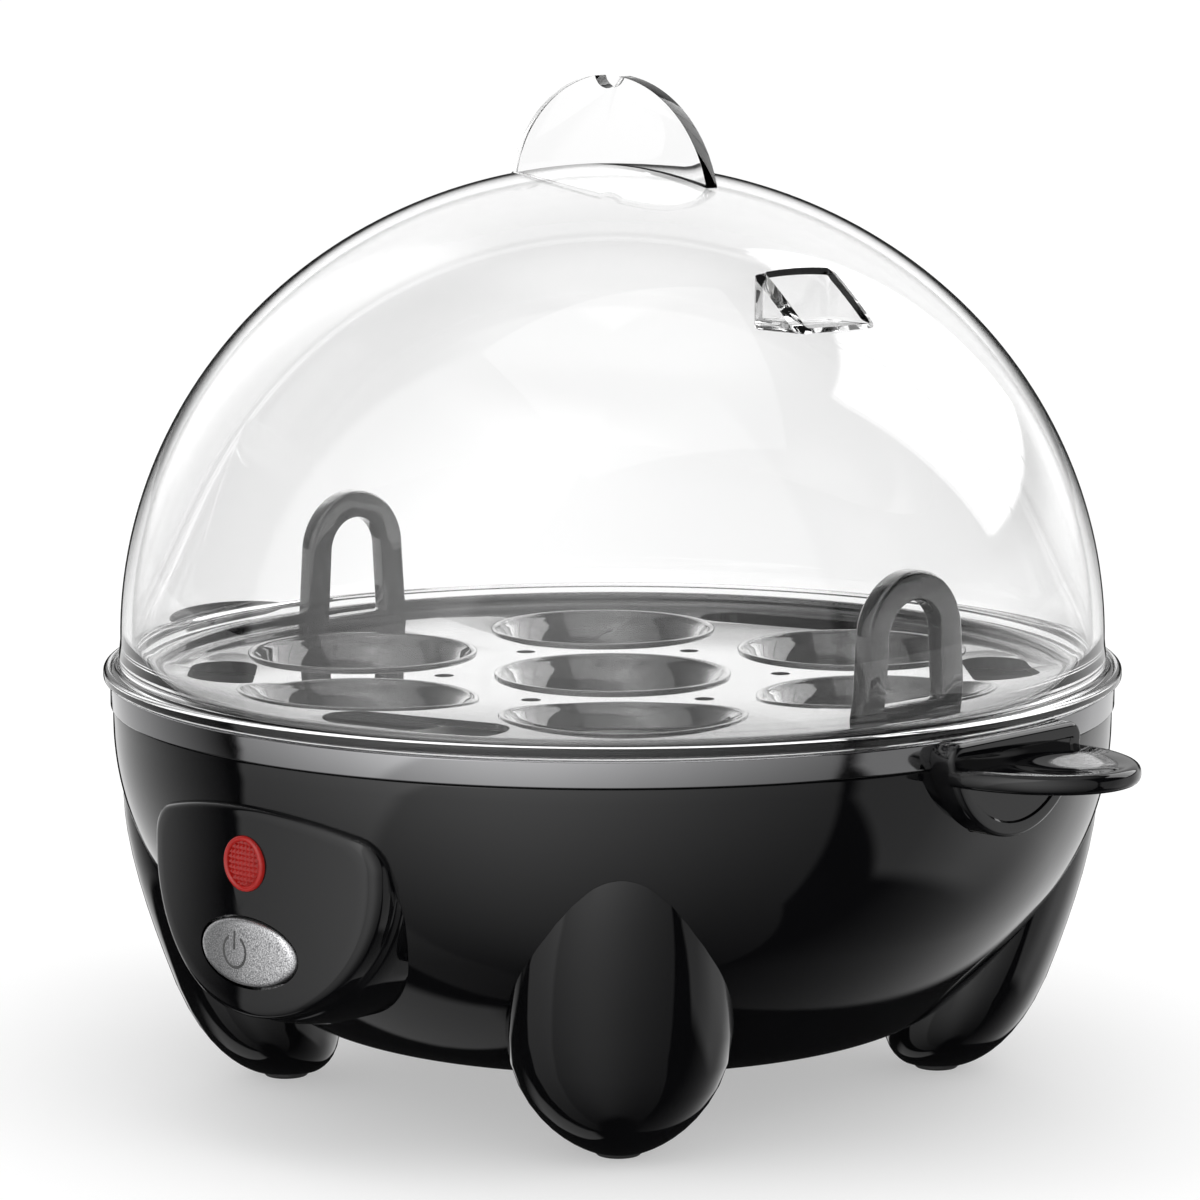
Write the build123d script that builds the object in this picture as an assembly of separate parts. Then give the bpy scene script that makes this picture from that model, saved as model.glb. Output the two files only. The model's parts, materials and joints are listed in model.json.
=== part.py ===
from build123d import *
from math import cos, hypot, radians, sin, sqrt
import os

os.makedirs("parts", exist_ok=True)

# Driving sizes in millimetres. The front, with the control panel, faces -Y, and Z is 0 where the pads stand.
# A size that names an inset, a gap or a rise is measured from the piece that it fits.

# Clearances
seamGap = 0.05          # between pieces of one body that sit on a curved face
restGap = 0.3           # between pieces that lift or slide apart
slideGap = 0.35         # round the power button

# Bowl of the base
bowlR = 81.0            # outer radius at the top
shoulderZ = 62.4        # top of the bowl's outer wall
curveDrop = 2.4         # straight part of the wall above the curve
shoulderArc = 46.0      # three tangent arcs make the outer curve
shoulderTurn = 36.0
flankArc = 120.0
flankTurn = 11.0
heelArc = 18.0
heelTurn = 43.0
wall = 2.2              # moulded wall of the bowl
lipInset = 1.3          # from the bowl's outside to the lip's outside
lipWall = 0.9
lipRise = 3.8           # upright lip that carries the trim ring

# Trim ring
trimProud = 0.4         # beyond the bowl's outside
trimCover = 0.4         # above the lip
trimEdge = 0.6

# Ledge inside the bowl that carries the heating plate
ledgeDrop = 4.4         # below the top of the bowl's outer wall
ledgeWidth = 5.8
ledgeDepth = 2.0
sealHeight = 1.2
sealInset = 1.4
sealWidth = 3.2

# Heating plate
plateT = 1.2
plateGap = 1.0          # from the lip to the plate's rim
plateRimWidth = 6.8
plateSlope = 12.4       # how far the dish's side comes inwards
plateDepth = 14.2       # from the rim's underside to the floor's underside
studR = 2.0
studInset = 18.0        # from the end of the strap to the stud
studLength = 15.0

# Seat tray
trayDrop = 0.2          # from the lip's top to the tray's top face
trayT = 2.0
trayGap = 2.3           # from the lip to the tray's rim
trayWall = 2.0
trayRimH = 2.4          # raised rim above the tray's top face
seatRing = 47.5         # radius of the circle of outer seats
seatCount = 6
seatTurn = 45.0         # first seat stands over the front right leg
seatTopR = 18.0
seatHoleR = 13.4
seatDepth = 8.5
seatWall = 1.6
slotInset = 12.0        # curved slots between the outer seats, from the tray's edge
slotHalfWidth = 5.5
slotHalfAngle = 9.0
slotAngles = (15.0, 135.0, 195.0, 315.0)
drainR = 1.6
drainRing = 27.4
archInset = 12.2        # from the tray's edge to the inner face of a loop handle
archAngle = 86.0        # from the front, clear of the seats on both sides
archT = 3.4
archHalfW = 10.8
archBand = 4.8
archRise = 24.2         # above the tray's top face
archSocket = 0.6        # how deep a loop handle stands in the tray
archFootH = 3.4

# Lid
lidOverhang = 1.1       # beyond the trim ring
lidT = 1.8
flangeT = 1.4
domeInset = 2.8         # from the flange's edge to the dome
domeFlare = 0.4
domeFootRise = 6.1      # height above the flange where the dome starts to curve
domeRise = 76.0
skirtWall = 1.4
skirtGap = 0.4          # inside the lip
skirtDrop = 2.3
tabR = 22.0
tabRise = 14.3          # above the top of the dome
tabT = 2.6
tabRoot = 7.6           # how deep the tab's foot reaches below the top of the dome
notchR = 2.75
notchDepth = 2.1
ventAngle = 81.5
ventDepth = 10.37       # from the dome, at the pocket's floor, to the pocket's back wall
ventHalfW = 6.5
ventRise = 54.2         # of the pocket's floor above the dome's foot
ventWall = 1.5
ventHeight = 11.0
lidSeam = 45.0          # turns the seam of the round faces away from the pocket
ventSlotL = 5.0
ventSlotW = 1.6
ventSlotOut = 5.0       # from the pocket's back wall to the slot

# Legs
legAngles = {"front_right": 44.0, "back_right": 136.0, "back_left": 224.0, "front_left": 316.0}
legWidestZ = 21.0
legRise = 36.0          # height of the egg shape above its widest level
legInset = 20.6         # from the bowl's outside to the widest level's centre
legDeep = 13.0          # half depth, towards the axis
legWide = 17.4          # half width
legLeanLow = 0.34
legLeanHigh = 0.359
legHighPower = 2.3      # how full the egg shape is above its widest level
legDeepPower = 2.5      # and below it, in depth and in width
legWidePower = 1.9
legCutZ = 1.0
legWall = 2.2
padR = 3.8
padT = 2.4

# Control panel
panelProud = 0.9        # of its curved face beyond the bowl
panelHalfW = 25.0
panelWidestZ = 42.0
panelDrop = 19.7        # from the widest level to the bottom of the outline
panelSideTopZ = 51.0
panelArchZ = 55.8
panelCorner = 8.0
panelEdge = 1.4
panelWall = 2.0
windowMargin = 3.4      # from the panel's outline to the opening in the bowl behind it
lensZ = 46.9
lensR = 4.3
lensRimWidth = 0.7
lensCrownR = 14.0
lensProud = 0.6
buttonZ = 33.1
buttonHalfL = 10.5
buttonHalfH = 5.3
buttonProud = 0.7
buttonCrown = 0.9
buttonDepth = 6.0
buttonFlange = 1.2
buttonFlangeR = 1.5     # how far the flange stands out round the oval
buttonFlangeBack = 1.4  # from the panel's inner face to the flange
buttonTravel = 2.0
stemR = 2.4
stemInSwitch = 3.0
bracketInset = 17.9     # from the panel's face
bracketT = 1.6
postR = 2.4
postX = 15.5
postZ = 42.5
bracketLowZ = 27.0
bracketTopZ = 48.8
switchW = 18.0
switchH = 12.0
switchD = 13.0
switchTagX = 5.0
switchTagL = 6.0
springR = 4.4
springWire = 0.9
lampR = 3.1

# Side handles
lugR = 16.0
lugCorner = 2.5
lugProud = 3.3          # beyond the bowl
finReach = 20.1
finHalfW = 15.6
finDrop = 3.5           # from the lug's top to the fin's top
finT = 3.0
finEdge = 1.3
finDishR = 46.0
finDishDepth = 0.9
lugScrewDrop = 13.4
lugScrewY = 5.5

# Bottom cover
coverInset = 1.0        # from the edge of the bowl's flat bottom
coverT = 2.2
coverGrooves = (30.0, 22.0)
grooveWidth = 1.2
grooveDepth = 0.5
bossInset = 8.2         # from the cover's edge to the screws
bossR = 4.0
bossRise = 14.1         # above the bowl's bottom
shelfInset = 5.7
shelfOverlap = 8.3
shelfT = 2.0

# Screws
screwR = 1.5
screwHeadR = 2.6
screwHeadH = 1.5
headGap = 2.4           # from the bowl's inner wall to a handle screw's head
headSink = 1.2          # how deep a head lies in the cover

# Parts under the heating plate
elementRing = 38.0
elementR = 3.0
elementOpen = 60.0
elementLeg = 12.0
thermostatR = 9.5
strapDrop = 11.1        # from the plate's floor to the strap's underside
strapT = 1.5
strapHalfW = 7.0
strapInset = 15.0       # from the bowl's outside to the strap's end
strapLugInset = 25.0
strapLugDepth = 6.9
nutR = 3.6
nutH = 2.6
fuseR = 2.2
fuseL = 14.0
fuseY = 16.5
blockL = 24.0
blockD = 12.0
blockH = 10.0
blockY = 20.0

# Cord inlet at the back
inletZ = 38.0
inletBoreR = 3.6
inletWall = 1.4
inletFlangeWidth = 2.5
inletProud = 0.5        # beyond the bowl's widest radius
inletLength = 15.5
inletFlangeT = 7.0
inletNutT = 4.0

# Places that follow from the sizes above, outwards from the axis
curveZ = shoulderZ - curveDrop
flankHeading = shoulderTurn + flankTurn
bottomR = (
    bowlR
    - shoulderArc * (1 - cos(radians(shoulderTurn)))
    - flankArc * (cos(radians(shoulderTurn)) - cos(radians(flankHeading)))
    - heelArc * cos(radians(flankHeading))
)
lipOuterR = bowlR - lipInset
lipInnerR = lipOuterR - lipWall
trimR = bowlR + trimProud
ledgeInnerR = bowlR - wall - ledgeWidth
sealOuterR = bowlR - wall - sealInset
plateRimR = lipInnerR - plateGap
plateWallTopR = plateRimR - plateRimWidth
plateFloorR = plateWallTopR - plateSlope
trayR = lipInnerR - trayGap
slotR = trayR - slotInset
archX = trayR - archInset
lidR = trimR + lidOverhang
domeR = lidR - domeInset
skirtOuterR = lipInnerR - skirtGap
skirtInnerR = skirtOuterR - skirtWall
ventR = domeR * sqrt(1 - (ventRise / domeRise) ** 2) - ventDepth
legR = bowlR - legInset
panelR = bowlR + panelProud
buttonFrontY = -panelR - buttonProud
bracketY = -panelR + bracketInset
lugX = bowlR + lugProud
coverR = bottomR - coverInset
bossRing = coverR - bossInset
strapEndX = bowlR - strapInset
studX = strapEndX - studInset
inletR = inletBoreR + inletWall
inletOuterY = bowlR + inletProud
inletInnerY = inletOuterY - inletLength

# Levels that follow from the sizes above
bottomZ = (
    curveZ
    - shoulderArc * sin(radians(shoulderTurn))
    - flankArc * (sin(radians(flankHeading)) - sin(radians(shoulderTurn)))
    - heelArc * (1 - sin(radians(flankHeading)))
)
lipTopZ = shoulderZ + lipRise
trimTopZ = lipTopZ + trimCover
ledgeZ = shoulderZ - ledgeDrop
plateRimZ = ledgeZ + sealHeight
plateFloorZ = plateRimZ - plateDepth
strapZ = plateFloorZ - strapDrop
strapTopZ = strapZ + strapT
trayTopZ = lipTopZ - trayDrop
trayFootZ = plateRimZ + plateT + restGap
archTopZ = trayTopZ + archRise
flangeZ = trimTopZ + restGap
domeFootZ = flangeZ + domeFootRise
domeTopZ = domeFootZ + domeRise
tabTopZ = domeTopZ + tabRise
ventFloorZ = domeFootZ + ventRise
lugTopZ = trimTopZ
finTopZ = lugTopZ - finDrop
lugScrewZ = lugTopZ - lugScrewDrop
bossTopZ = bottomZ + bossRise
far = 200.0             # past every face, for cutting


def write(node, shape):
    export_step(shape, "parts/" + node + ".step")


def spun(points):
    return revolve(Plane.XZ * make_face(Polyline(*points, close=True)), axis=Axis.Z)


def turned(shape, angle):
    return Rot(0, 0, angle) * shape


def rod(radius, start, end):
    run = Vector(*end) - Vector(*start)
    return extrude(Plane(origin=start, z_dir=run) * Circle(radius), amount=run.length)


def block(lowX, highX, lowY, highY, lowZ, highZ):
    middle = ((lowX + highX) / 2, (lowY + highY) / 2, (lowZ + highZ) / 2)
    return Pos(*middle) * Box(highX - lowX, highY - lowY, highZ - lowZ)


# Solid bounded by the bowl's outer surface, moved inwards by inset
def bowlCore(inset, top):
    shoulder = JernArc((bowlR - inset, curveZ), (0, -1), shoulderArc - inset, -shoulderTurn)
    flank = JernArc(shoulder @ 1, shoulder % 1, flankArc - inset, -flankTurn)
    heel = JernArc(flank @ 1, flank % 1, heelArc - inset, -heelTurn)
    end = heel @ 1
    rest = Polyline((end.X, end.Y), (0, end.Y), (0, top), (bowlR - inset, top), (bowlR - inset, curveZ))
    face = make_face([*shoulder.edges(), *flank.edges(), *heel.edges(), *rest.edges()])
    return revolve(Plane.XZ * face, axis=Axis.Z)


# Control panel outline, moved inwards by inset, on the plane of the front
def panelOutline(inset):
    halfW = panelHalfW - inset
    sideTop = panelSideTopZ - inset
    drop = panelDrop - inset
    belly = EllipticalCenterArc((0, panelWidestZ), halfW, drop, start_angle=180, arc_size=180)
    right = Line((halfW, panelWidestZ), (halfW, sideTop))
    arch = ThreePointArc((halfW, sideTop), (0, panelArchZ - inset), (-halfW, sideTop))
    left = Line((-halfW, sideTop), (-halfW, panelWidestZ))
    face = make_face([*belly.edges(), *right.edges(), *arch.edges(), *left.edges()])
    corners = face.vertices().group_by(Axis.Y)[-1]
    return fillet(corners, panelCorner - inset * 0.5)


# Straight prism of a front-facing outline between two distances in front of the axis
def frontPrism(outline, nearY, farY):
    return extrude(Plane.XZ.offset(-nearY) * outline, amount=nearY - farY)


def makeHousing():
    shell = bowlCore(0, shoulderZ) - bowlCore(wall, shoulderZ + wall)
    shell += spun([
        (lipInnerR, shoulderZ - wall), (lipOuterR, shoulderZ - wall),
        (lipOuterR, lipTopZ), (lipInnerR, lipTopZ),
    ])
    ledgeOut = bowlR - wall / 2
    shell += spun([
        (ledgeInnerR, ledgeZ - ledgeDepth), (ledgeOut, ledgeZ - ledgeDepth),
        (ledgeOut, ledgeZ), (ledgeInnerR, ledgeZ),
    ])
    shelfZ = bottomZ + coverT
    shelfInnerR = coverR - shelfInset
    shelfOuterR = coverR + shelfOverlap
    shelf = spun([
        (shelfInnerR, shelfZ), (shelfOuterR, shelfZ),
        (shelfOuterR, shelfZ + shelfT), (shelfInnerR, shelfZ + shelfT),
    ])
    shell += shelf & bowlCore(wall / 2, shoulderZ)
    shell -= Pos(0, 0, bottomZ) * Cylinder(coverR + seamGap, 2 * coverT)
    shell -= Pos(0, 0, bottomZ) * Cylinder(shelfInnerR, 4 * coverT)
    for angle in range(45, 360, 90):
        x, y = bossRing * sin(radians(angle)), bossRing * cos(radians(angle))
        boss = rod(bossR, (x, y, shelfZ + seamGap), (x, y, bossTopZ))
        shell += boss
        shell -= rod(screwR + seamGap, (x, y, bottomZ), (x, y, bossTopZ - 2))
    lug = block(bowlR - strapLugInset, far, -strapHalfW, strapHalfW, strapZ - strapLugDepth, strapZ)
    for side in (0, 180):
        shell += turned(lug, side) & bowlCore(wall / 2, shoulderZ)
        x = strapEndX - 4
        hole = rod(screwR + seamGap, (x, 0, strapZ - strapLugDepth - 1), (x, 0, strapZ + 1))
        shell -= turned(hole, side)
        for y in (-lugScrewY, lugScrewY):
            shell -= turned(rod(screwR + 0.2, (lugX - 20, y, lugScrewZ), (lugX, y, lugScrewZ)), side)
    shell -= frontPrism(panelOutline(windowMargin), -panelR / 2, -far)
    shell -= rod(inletR + seamGap, (0, inletInnerY, inletZ), (0, far, inletZ))
    return shell


def makeTrimRing():
    inner = lipOuterR + seamGap
    low = shoulderZ + seamGap
    return spun([
        (inner, low), (trimR - trimEdge / 2, low), (trimR, low + trimEdge / 2),
        (trimR, trimTopZ - trimEdge), (trimR - trimEdge, trimTopZ), (inner, trimTopZ),
    ])


# One level of a leg: its centre's distance from the axis, half depth and half width
def legLevel(z, inset):
    if z < legWidestZ:
        t = (legWidestZ - z) / legWidestZ
        deep = (1 - t ** legDeepPower) ** (1 / legDeepPower)
        wide = (1 - t ** legWidePower) ** (1 / legWidePower)
        centre = legR + legLeanLow * (z - legWidestZ)
    else:
        t = (z - legWidestZ) / legRise
        deep = wide = (1 - t ** legHighPower) ** (1 / legHighPower)
        centre = legR + legLeanHigh * (z - legWidestZ)
    return centre, legDeep * deep - inset, legWide * wide - inset


def legLoft(levels, inset):
    slices = []
    for z in levels:
        centre, deep, wide = legLevel(z, inset)
        slices.append(Pos(centre, 0, z) * Ellipse(deep, wide))
    return loft(slices)


# A leg standing on the +X side, cut to sit on the bowl
def makeLeg():
    top = legWidestZ + legRise
    leg = legLoft([legCutZ, 3, 6, 10, 15, legWidestZ, 27, 33, 39, 44, 48, top - 6], 0)
    leg -= legLoft([4.5, 7, 11, 15, legWidestZ, 27, 33, 39, 44, top - 9], legWall)
    leg -= bowlCore(-seamGap, shoulderZ)
    padX = legLevel(legCutZ, 0)[0]
    leg -= rod(padR + seamGap, (padX, 0, 0), (padX, 0, padT + seamGap))
    return max(leg.solids(), key=lambda s: s.volume)


def makePads():
    padX = legLevel(legCutZ, 0)[0]
    pad = rod(padR, (padX, 0, 0), (padX, 0, padT))
    pad = chamfer(pad.edges().group_by(Axis.Z)[0], 0.4)
    return [turned(pad, angle - 90) for angle in legAngles.values()]


def makePanel():
    shell = frontPrism(panelOutline(0), -panelR / 2, -far) & Cylinder(panelR, far)
    rim = shell.edges().filter_by(lambda e: abs(hypot((e @ 0.5).X, (e @ 0.5).Y) - panelR) < 0.02)
    shell = fillet(rim, panelEdge)
    shell -= frontPrism(panelOutline(panelWall), 0, -far) & Cylinder(panelR - panelWall, far)
    shell -= bowlCore(-seamGap, shoulderZ)
    for x in (-postX, postX):
        post = rod(postR, (x, -panelR + 1, postZ), (x, bracketY, postZ))
        shell += post & Cylinder(panelR - panelWall / 2, far)
    shell -= rod(lensR + seamGap, (0, bracketY, lensZ), (0, -far, lensZ))
    buttonHole = Pos(0, buttonZ) * Ellipse(buttonHalfL + slideGap, buttonHalfH + slideGap)
    shell -= frontPrism(buttonHole, bracketY, -far)
    return max(shell.solids(), key=lambda s: s.volume)


def makeLens():
    backY = -(panelR - panelWall) + seamGap
    dome = Pos(0, -panelR - lensProud + lensCrownR, lensZ) * Sphere(lensCrownR)
    lens = rod(lensR, (0, backY + 1, lensZ), (0, -panelR - lensProud, lensZ)) & dome
    rim = rod(lensR + lensRimWidth, (0, backY + 1.6, lensZ), (0, backY, lensZ))
    rim &= Cylinder(panelR - panelWall - seamGap, far)
    hollow = rod(lampR + 0.2, (0, backY + 2, lensZ), (0, backY - 0.8, lensZ))
    return lens + rim - hollow


def makeLamp():
    tip = -(panelR - panelWall) - 0.2 + seamGap
    return rod(lampR, (0, bracketY - seamGap, lensZ), (0, tip, lensZ)) + rod(
        lampR + 1, (0, bracketY - seamGap, lensZ), (0, bracketY - 4, lensZ)
    )


# The button's oval front, its back flange and the stem that reaches the switch
def makeButton():
    front = buttonFrontY
    oval = Pos(0, buttonZ) * Ellipse(buttonHalfL, buttonHalfH)
    body = frontPrism(oval, front + buttonDepth, front)
    crownR = (buttonHalfL ** 2 + buttonCrown ** 2) / (2 * buttonCrown)
    body &= Pos(0, front + crownR, buttonZ) * Sphere(crownR)
    flangeFront = -(panelR - panelWall) + buttonFlangeBack
    flangeOval = Pos(0, buttonZ) * Ellipse(buttonHalfL + buttonFlangeR, buttonHalfH + buttonFlangeR)
    flange = frontPrism(flangeOval, flangeFront + buttonFlange, flangeFront)
    stemEnd = bracketY + bracketT + stemInSwitch
    return body + flange + rod(stemR, (0, flangeFront, buttonZ), (0, stemEnd, buttonZ))


def makeSpring():
    back = bracketY - seamGap
    front = buttonFrontY + buttonDepth + seamGap
    ring = rod(springR, (0, back, buttonZ), (0, front, buttonZ))
    return ring - rod(springR - springWire, (0, back + 1, buttonZ), (0, front - 1, buttonZ))


def makeBracket():
    plate = frontPrism(panelOutline(windowMargin + 1), bracketY + bracketT, bracketY)
    plate &= block(-far, far, -far, far, bracketLowZ, bracketTopZ)
    return plate - rod(stemR + slideGap, (0, -far, buttonZ), (0, 0, buttonZ))


def makeSwitch():
    near = bracketY + bracketT
    end = near + switchD
    body = block(-switchW / 2, switchW / 2, near, end, buttonZ - switchH / 2, buttonZ + switchH / 2)
    stemEnd = near + stemInSwitch + buttonTravel + 1
    body -= rod(stemR + slideGap, (0, near - 1, buttonZ), (0, stemEnd, buttonZ))
    for x in (-switchTagX, switchTagX):
        body += block(x - 1.6, x + 1.6, end - 0.1, end + switchTagL, buttonZ - 0.4, buttonZ + 0.4)
    return body


# The right-hand handle: a half-round lug under the lid's flange, with a half-round fin
def makeHandle():
    disc = rod(lugR, (bowlR - 20, 0, lugTopZ), (lugX, 0, lugTopZ))
    disc -= block(-far, far, -far, far, lugTopZ, far)
    disc = fillet(disc.edges().filter_by(Axis.X), lugCorner)
    half = extrude(Ellipse(finReach + 1, finHalfW), amount=finT / 2, both=True)
    fin = Pos(lugX - 1, 0, finTopZ - finT / 2) * half
    fin = fillet(fin.edges(), finEdge)
    fin -= block(-far, lugX - 1, -far, far, 0, far)
    fin -= Pos(lugX + finReach * 0.48, 0, finTopZ + finDishR - finDishDepth) * Sphere(finDishR)
    handle = disc + fin
    handle -= bowlCore(-seamGap, shoulderZ + 2)
    handle -= rod(trimR + seamGap, (0, 0, shoulderZ), (0, 0, far))
    for y in (-lugScrewY, lugScrewY):
        handle -= rod(screwR + seamGap, (bowlR - 10, y, lugScrewZ), (lugX - 1, y, lugScrewZ))
    return handle


def makeHandleScrews():
    screws = []
    headBack = bowlR - wall - headGap
    for y in (-lugScrewY, lugScrewY):
        shank = rod(screwR, (headBack, y, lugScrewZ), (lugX - 1.2, y, lugScrewZ))
        head = rod(screwHeadR, (headBack - screwHeadH, y, lugScrewZ), (headBack, y, lugScrewZ))
        for side in (0, 180):
            screws.append(turned(shank + head, side))
    return screws


def makePlate():
    slope = plateT * 0.55
    dish = spun([
        (0, plateFloorZ), (plateFloorR, plateFloorZ), (plateWallTopR, plateRimZ), (plateRimR, plateRimZ),
        (plateRimR, plateRimZ + plateT), (plateWallTopR - slope, plateRimZ + plateT),
        (plateFloorR - slope, plateFloorZ + plateT), (0, plateFloorZ + plateT),
    ])
    for x in (-studX, studX):
        dish += rod(studR, (x, 0, plateFloorZ + plateT / 2), (x, 0, plateFloorZ - studLength))
    return dish


def makeSeal():
    return spun([
        (sealOuterR - sealWidth, ledgeZ), (sealOuterR, ledgeZ),
        (sealOuterR, plateRimZ), (sealOuterR - sealWidth, plateRimZ),
    ])


def makeElement():
    z = plateFloorZ - elementR - seamGap
    arc = CenterArc((0, 0, z), elementRing, 90 + elementOpen / 2, 360 - elementOpen)
    tube = sweep(Plane(origin=arc @ 0, z_dir=arc % 0) * Circle(elementR), path=arc)
    for point in (arc @ 0, arc @ 1):
        tube += rod(elementR * 0.6, (point.X, point.Y, z), (point.X, point.Y, z - elementLeg))
        tube += Pos(point.X, point.Y, z) * Sphere(elementR)
    return tube


def makeThermostat():
    low = strapTopZ + seamGap
    body = rod(thermostatR, (0, 0, low + 3), (0, 0, plateFloorZ - seamGap))
    body += rod(thermostatR * 0.7, (0, 0, low), (0, 0, low + 4))
    for y in (-1, 1):
        body += block(-2, 2, min(y * 4, y * 15), max(y * 4, y * 15), low + 4, low + 4.8)
    return body


def makeFuse():
    z = plateFloorZ - fuseR - seamGap
    body = rod(fuseR, (-fuseL / 2, fuseY, z), (fuseL / 2, fuseY, z))
    return body + rod(0.6, (-fuseL / 2 - 5, fuseY, z), (fuseL / 2 + 5, fuseY, z))


def makeStrap():
    bar = block(-strapEndX, strapEndX, -strapHalfW, strapHalfW, strapZ, strapTopZ)
    for side in (0, 180):
        bar -= turned(rod(studR + 0.3, (studX, 0, strapZ - 1), (studX, 0, strapTopZ + 1)), side)
        x = strapEndX - 4
        bar -= turned(rod(screwR + 0.2, (x, 0, strapZ - 1), (x, 0, strapTopZ + 1)), side)
    return bar


def makeStrapScrews():
    x = strapEndX - 4
    screw = rod(screwR, (x, 0, strapZ - strapLugDepth + 0.5), (x, 0, strapTopZ + 0.1))
    screw += rod(screwHeadR, (x, 0, strapTopZ), (x, 0, strapTopZ + screwHeadH))
    return [turned(screw, side) for side in (0, 180)]


def makeNuts():
    nut = extrude(Pos(studX, 0, strapZ - nutH) * RegularPolygon(nutR, 6), amount=nutH - seamGap)
    nut -= rod(studR + 0.02, (studX, 0, 0), (studX, 0, far))
    return [turned(nut, side) for side in (0, 180)]


def makeCover():
    cover = rod(coverR, (0, 0, bottomZ), (0, 0, bottomZ + coverT - seamGap))
    for radius in coverGrooves:
        groove = rod(radius, (0, 0, bottomZ - 1), (0, 0, bottomZ + grooveDepth))
        cover -= groove - rod(radius - grooveWidth, (0, 0, bottomZ - 2), (0, 0, bottomZ + 1))
    for angle in range(45, 360, 90):
        x, y = bossRing * sin(radians(angle)), bossRing * cos(radians(angle))
        cover -= rod(screwR + 0.2, (x, y, bottomZ - 1), (x, y, bottomZ + coverT + 1))
        cover -= rod(screwHeadR + 0.3, (x, y, bottomZ - 1), (x, y, bottomZ + headSink))
    return cover


def makeCoverScrews():
    screws = []
    for angle in range(45, 360, 90):
        x, y = bossRing * sin(radians(angle)), bossRing * cos(radians(angle))
        screw = rod(screwR, (x, y, bottomZ + 0.2), (x, y, bossTopZ - 2.5))
        screw += rod(screwHeadR, (x, y, bottomZ), (x, y, bottomZ + headSink))
        screws.append(screw)
    return screws


def makeTerminalBlock():
    low = bottomZ + coverT
    body = block(-blockL / 2, blockL / 2, blockY - blockD / 2, blockY + blockD / 2, low, low + blockH)
    for x in (-8, 0, 8):
        body -= rod(1.8, (x, blockY, low + 3), (x, blockY, low + blockH + 1))
        body -= rod(1.5, (x, blockY - blockD, low + 5), (x, blockY + blockD, low + 5))
    return body


def makeInlet():
    inner = rod(inletR, (0, inletInnerY, inletZ), (0, inletOuterY, inletZ))
    flangeR = inletR + inletFlangeWidth
    flange = rod(flangeR, (0, inletOuterY - inletFlangeT, inletZ), (0, inletOuterY, inletZ))
    flange = chamfer(flange.edges().group_by(Axis.Y)[-1], 0.8)
    flange -= bowlCore(-seamGap, shoulderZ)
    nut = rod(flangeR, (0, inletInnerY, inletZ), (0, inletInnerY + inletNutT, inletZ))
    nut &= bowlCore(wall + seamGap, shoulderZ)
    return inner + flange + nut - rod(inletBoreR, (0, 0, inletZ), (0, far, inletZ))


def seatPlaces():
    places = [(0.0, 0.0)]
    for i in range(seatCount):
        angle = radians(seatTurn + 360.0 / seatCount * i)
        places.append((seatRing * sin(angle), -seatRing * cos(angle)))
    return places


# A curved slot with round ends, centred on the angle measured from the front
def curvedSlot(angle):
    inner = slotR - slotHalfWidth
    outer = slotR + slotHalfWidth
    sector = Cylinder(outer, 20) - Cylinder(inner, 30)
    reach = outer * 1.5
    half = radians(slotHalfAngle)
    wedge = make_face(Polyline(
        (0, 0), (reach * sin(half), -reach * cos(half)), (-reach * sin(half), -reach * cos(half)), close=True
    ))
    sector &= Pos(0, 0, -10) * extrude(wedge, amount=20)
    for side in (-half, half):
        sector += Pos(slotR * sin(side), -slotR * cos(side), 0) * Cylinder(slotHalfWidth, 20)
    return Pos(0, 0, trayTopZ) * turned(sector, angle)


def makeTray():
    low = trayTopZ - trayT
    rimTop = trayTopZ + trayRimH
    tray = spun([
        (0, low), (trayR - trayWall, low), (trayR - trayWall, trayFootZ), (trayR, trayFootZ),
        (trayR, rimTop - 0.5), (trayR - 0.5, rimTop), (trayR - trayWall + 0.5, rimTop),
        (trayR - trayWall, rimTop - 0.5), (trayR - trayWall - 0.8, trayTopZ), (0, trayTopZ),
    ])
    outerCup = Cone(seatHoleR + seatWall, seatTopR + seatWall, seatDepth)
    innerCup = Cone(seatHoleR, seatTopR, seatDepth)
    for x, y in seatPlaces():
        tray += Pos(x, y, trayTopZ - seatDepth / 2) * outerCup
    for x, y in seatPlaces():
        tray -= Pos(x, y, trayTopZ - seatDepth / 2) * innerCup
    for angle in slotAngles:
        tray -= curvedSlot(angle)
    for i in range(seatCount):
        angle = radians(seatTurn + 180.0 / seatCount + 360.0 / seatCount * i)
        x, y = drainRing * sin(angle), -drainRing * cos(angle)
        tray -= rod(drainR, (x, y, low - 1), (x, y, trayTopZ + 1))
    halfW = archHalfW + 0.1
    foot = block(archX - 0.1, archX + archT + 0.1, -halfW, halfW, trayTopZ - archSocket, far)
    for side in (0, 180):
        tray -= turned(foot, archAngle - 90 + side)
    return tray


# The right-hand loop handle, standing in a shallow socket of the tray
def makeArch():
    base = trayTopZ - archSocket
    centreZ = archTopZ - archHalfW
    inner = archHalfW - archBand
    outerFace = Pos(0, centreZ) * Circle(archHalfW)
    outerFace += Pos(0, (base + centreZ) / 2) * Rectangle(2 * archHalfW, centreZ - base)
    opening = Pos(0, centreZ) * Circle(inner)
    opening += Pos(0, (base + archFootH + centreZ) / 2) * Rectangle(2 * inner, centreZ - base - archFootH)
    loop = extrude(Plane.YZ.offset(archX) * (outerFace - opening), amount=archT)
    rims = loop.edges().filter_by(GeomType.CIRCLE)
    return fillet(rims, 0.8)


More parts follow.
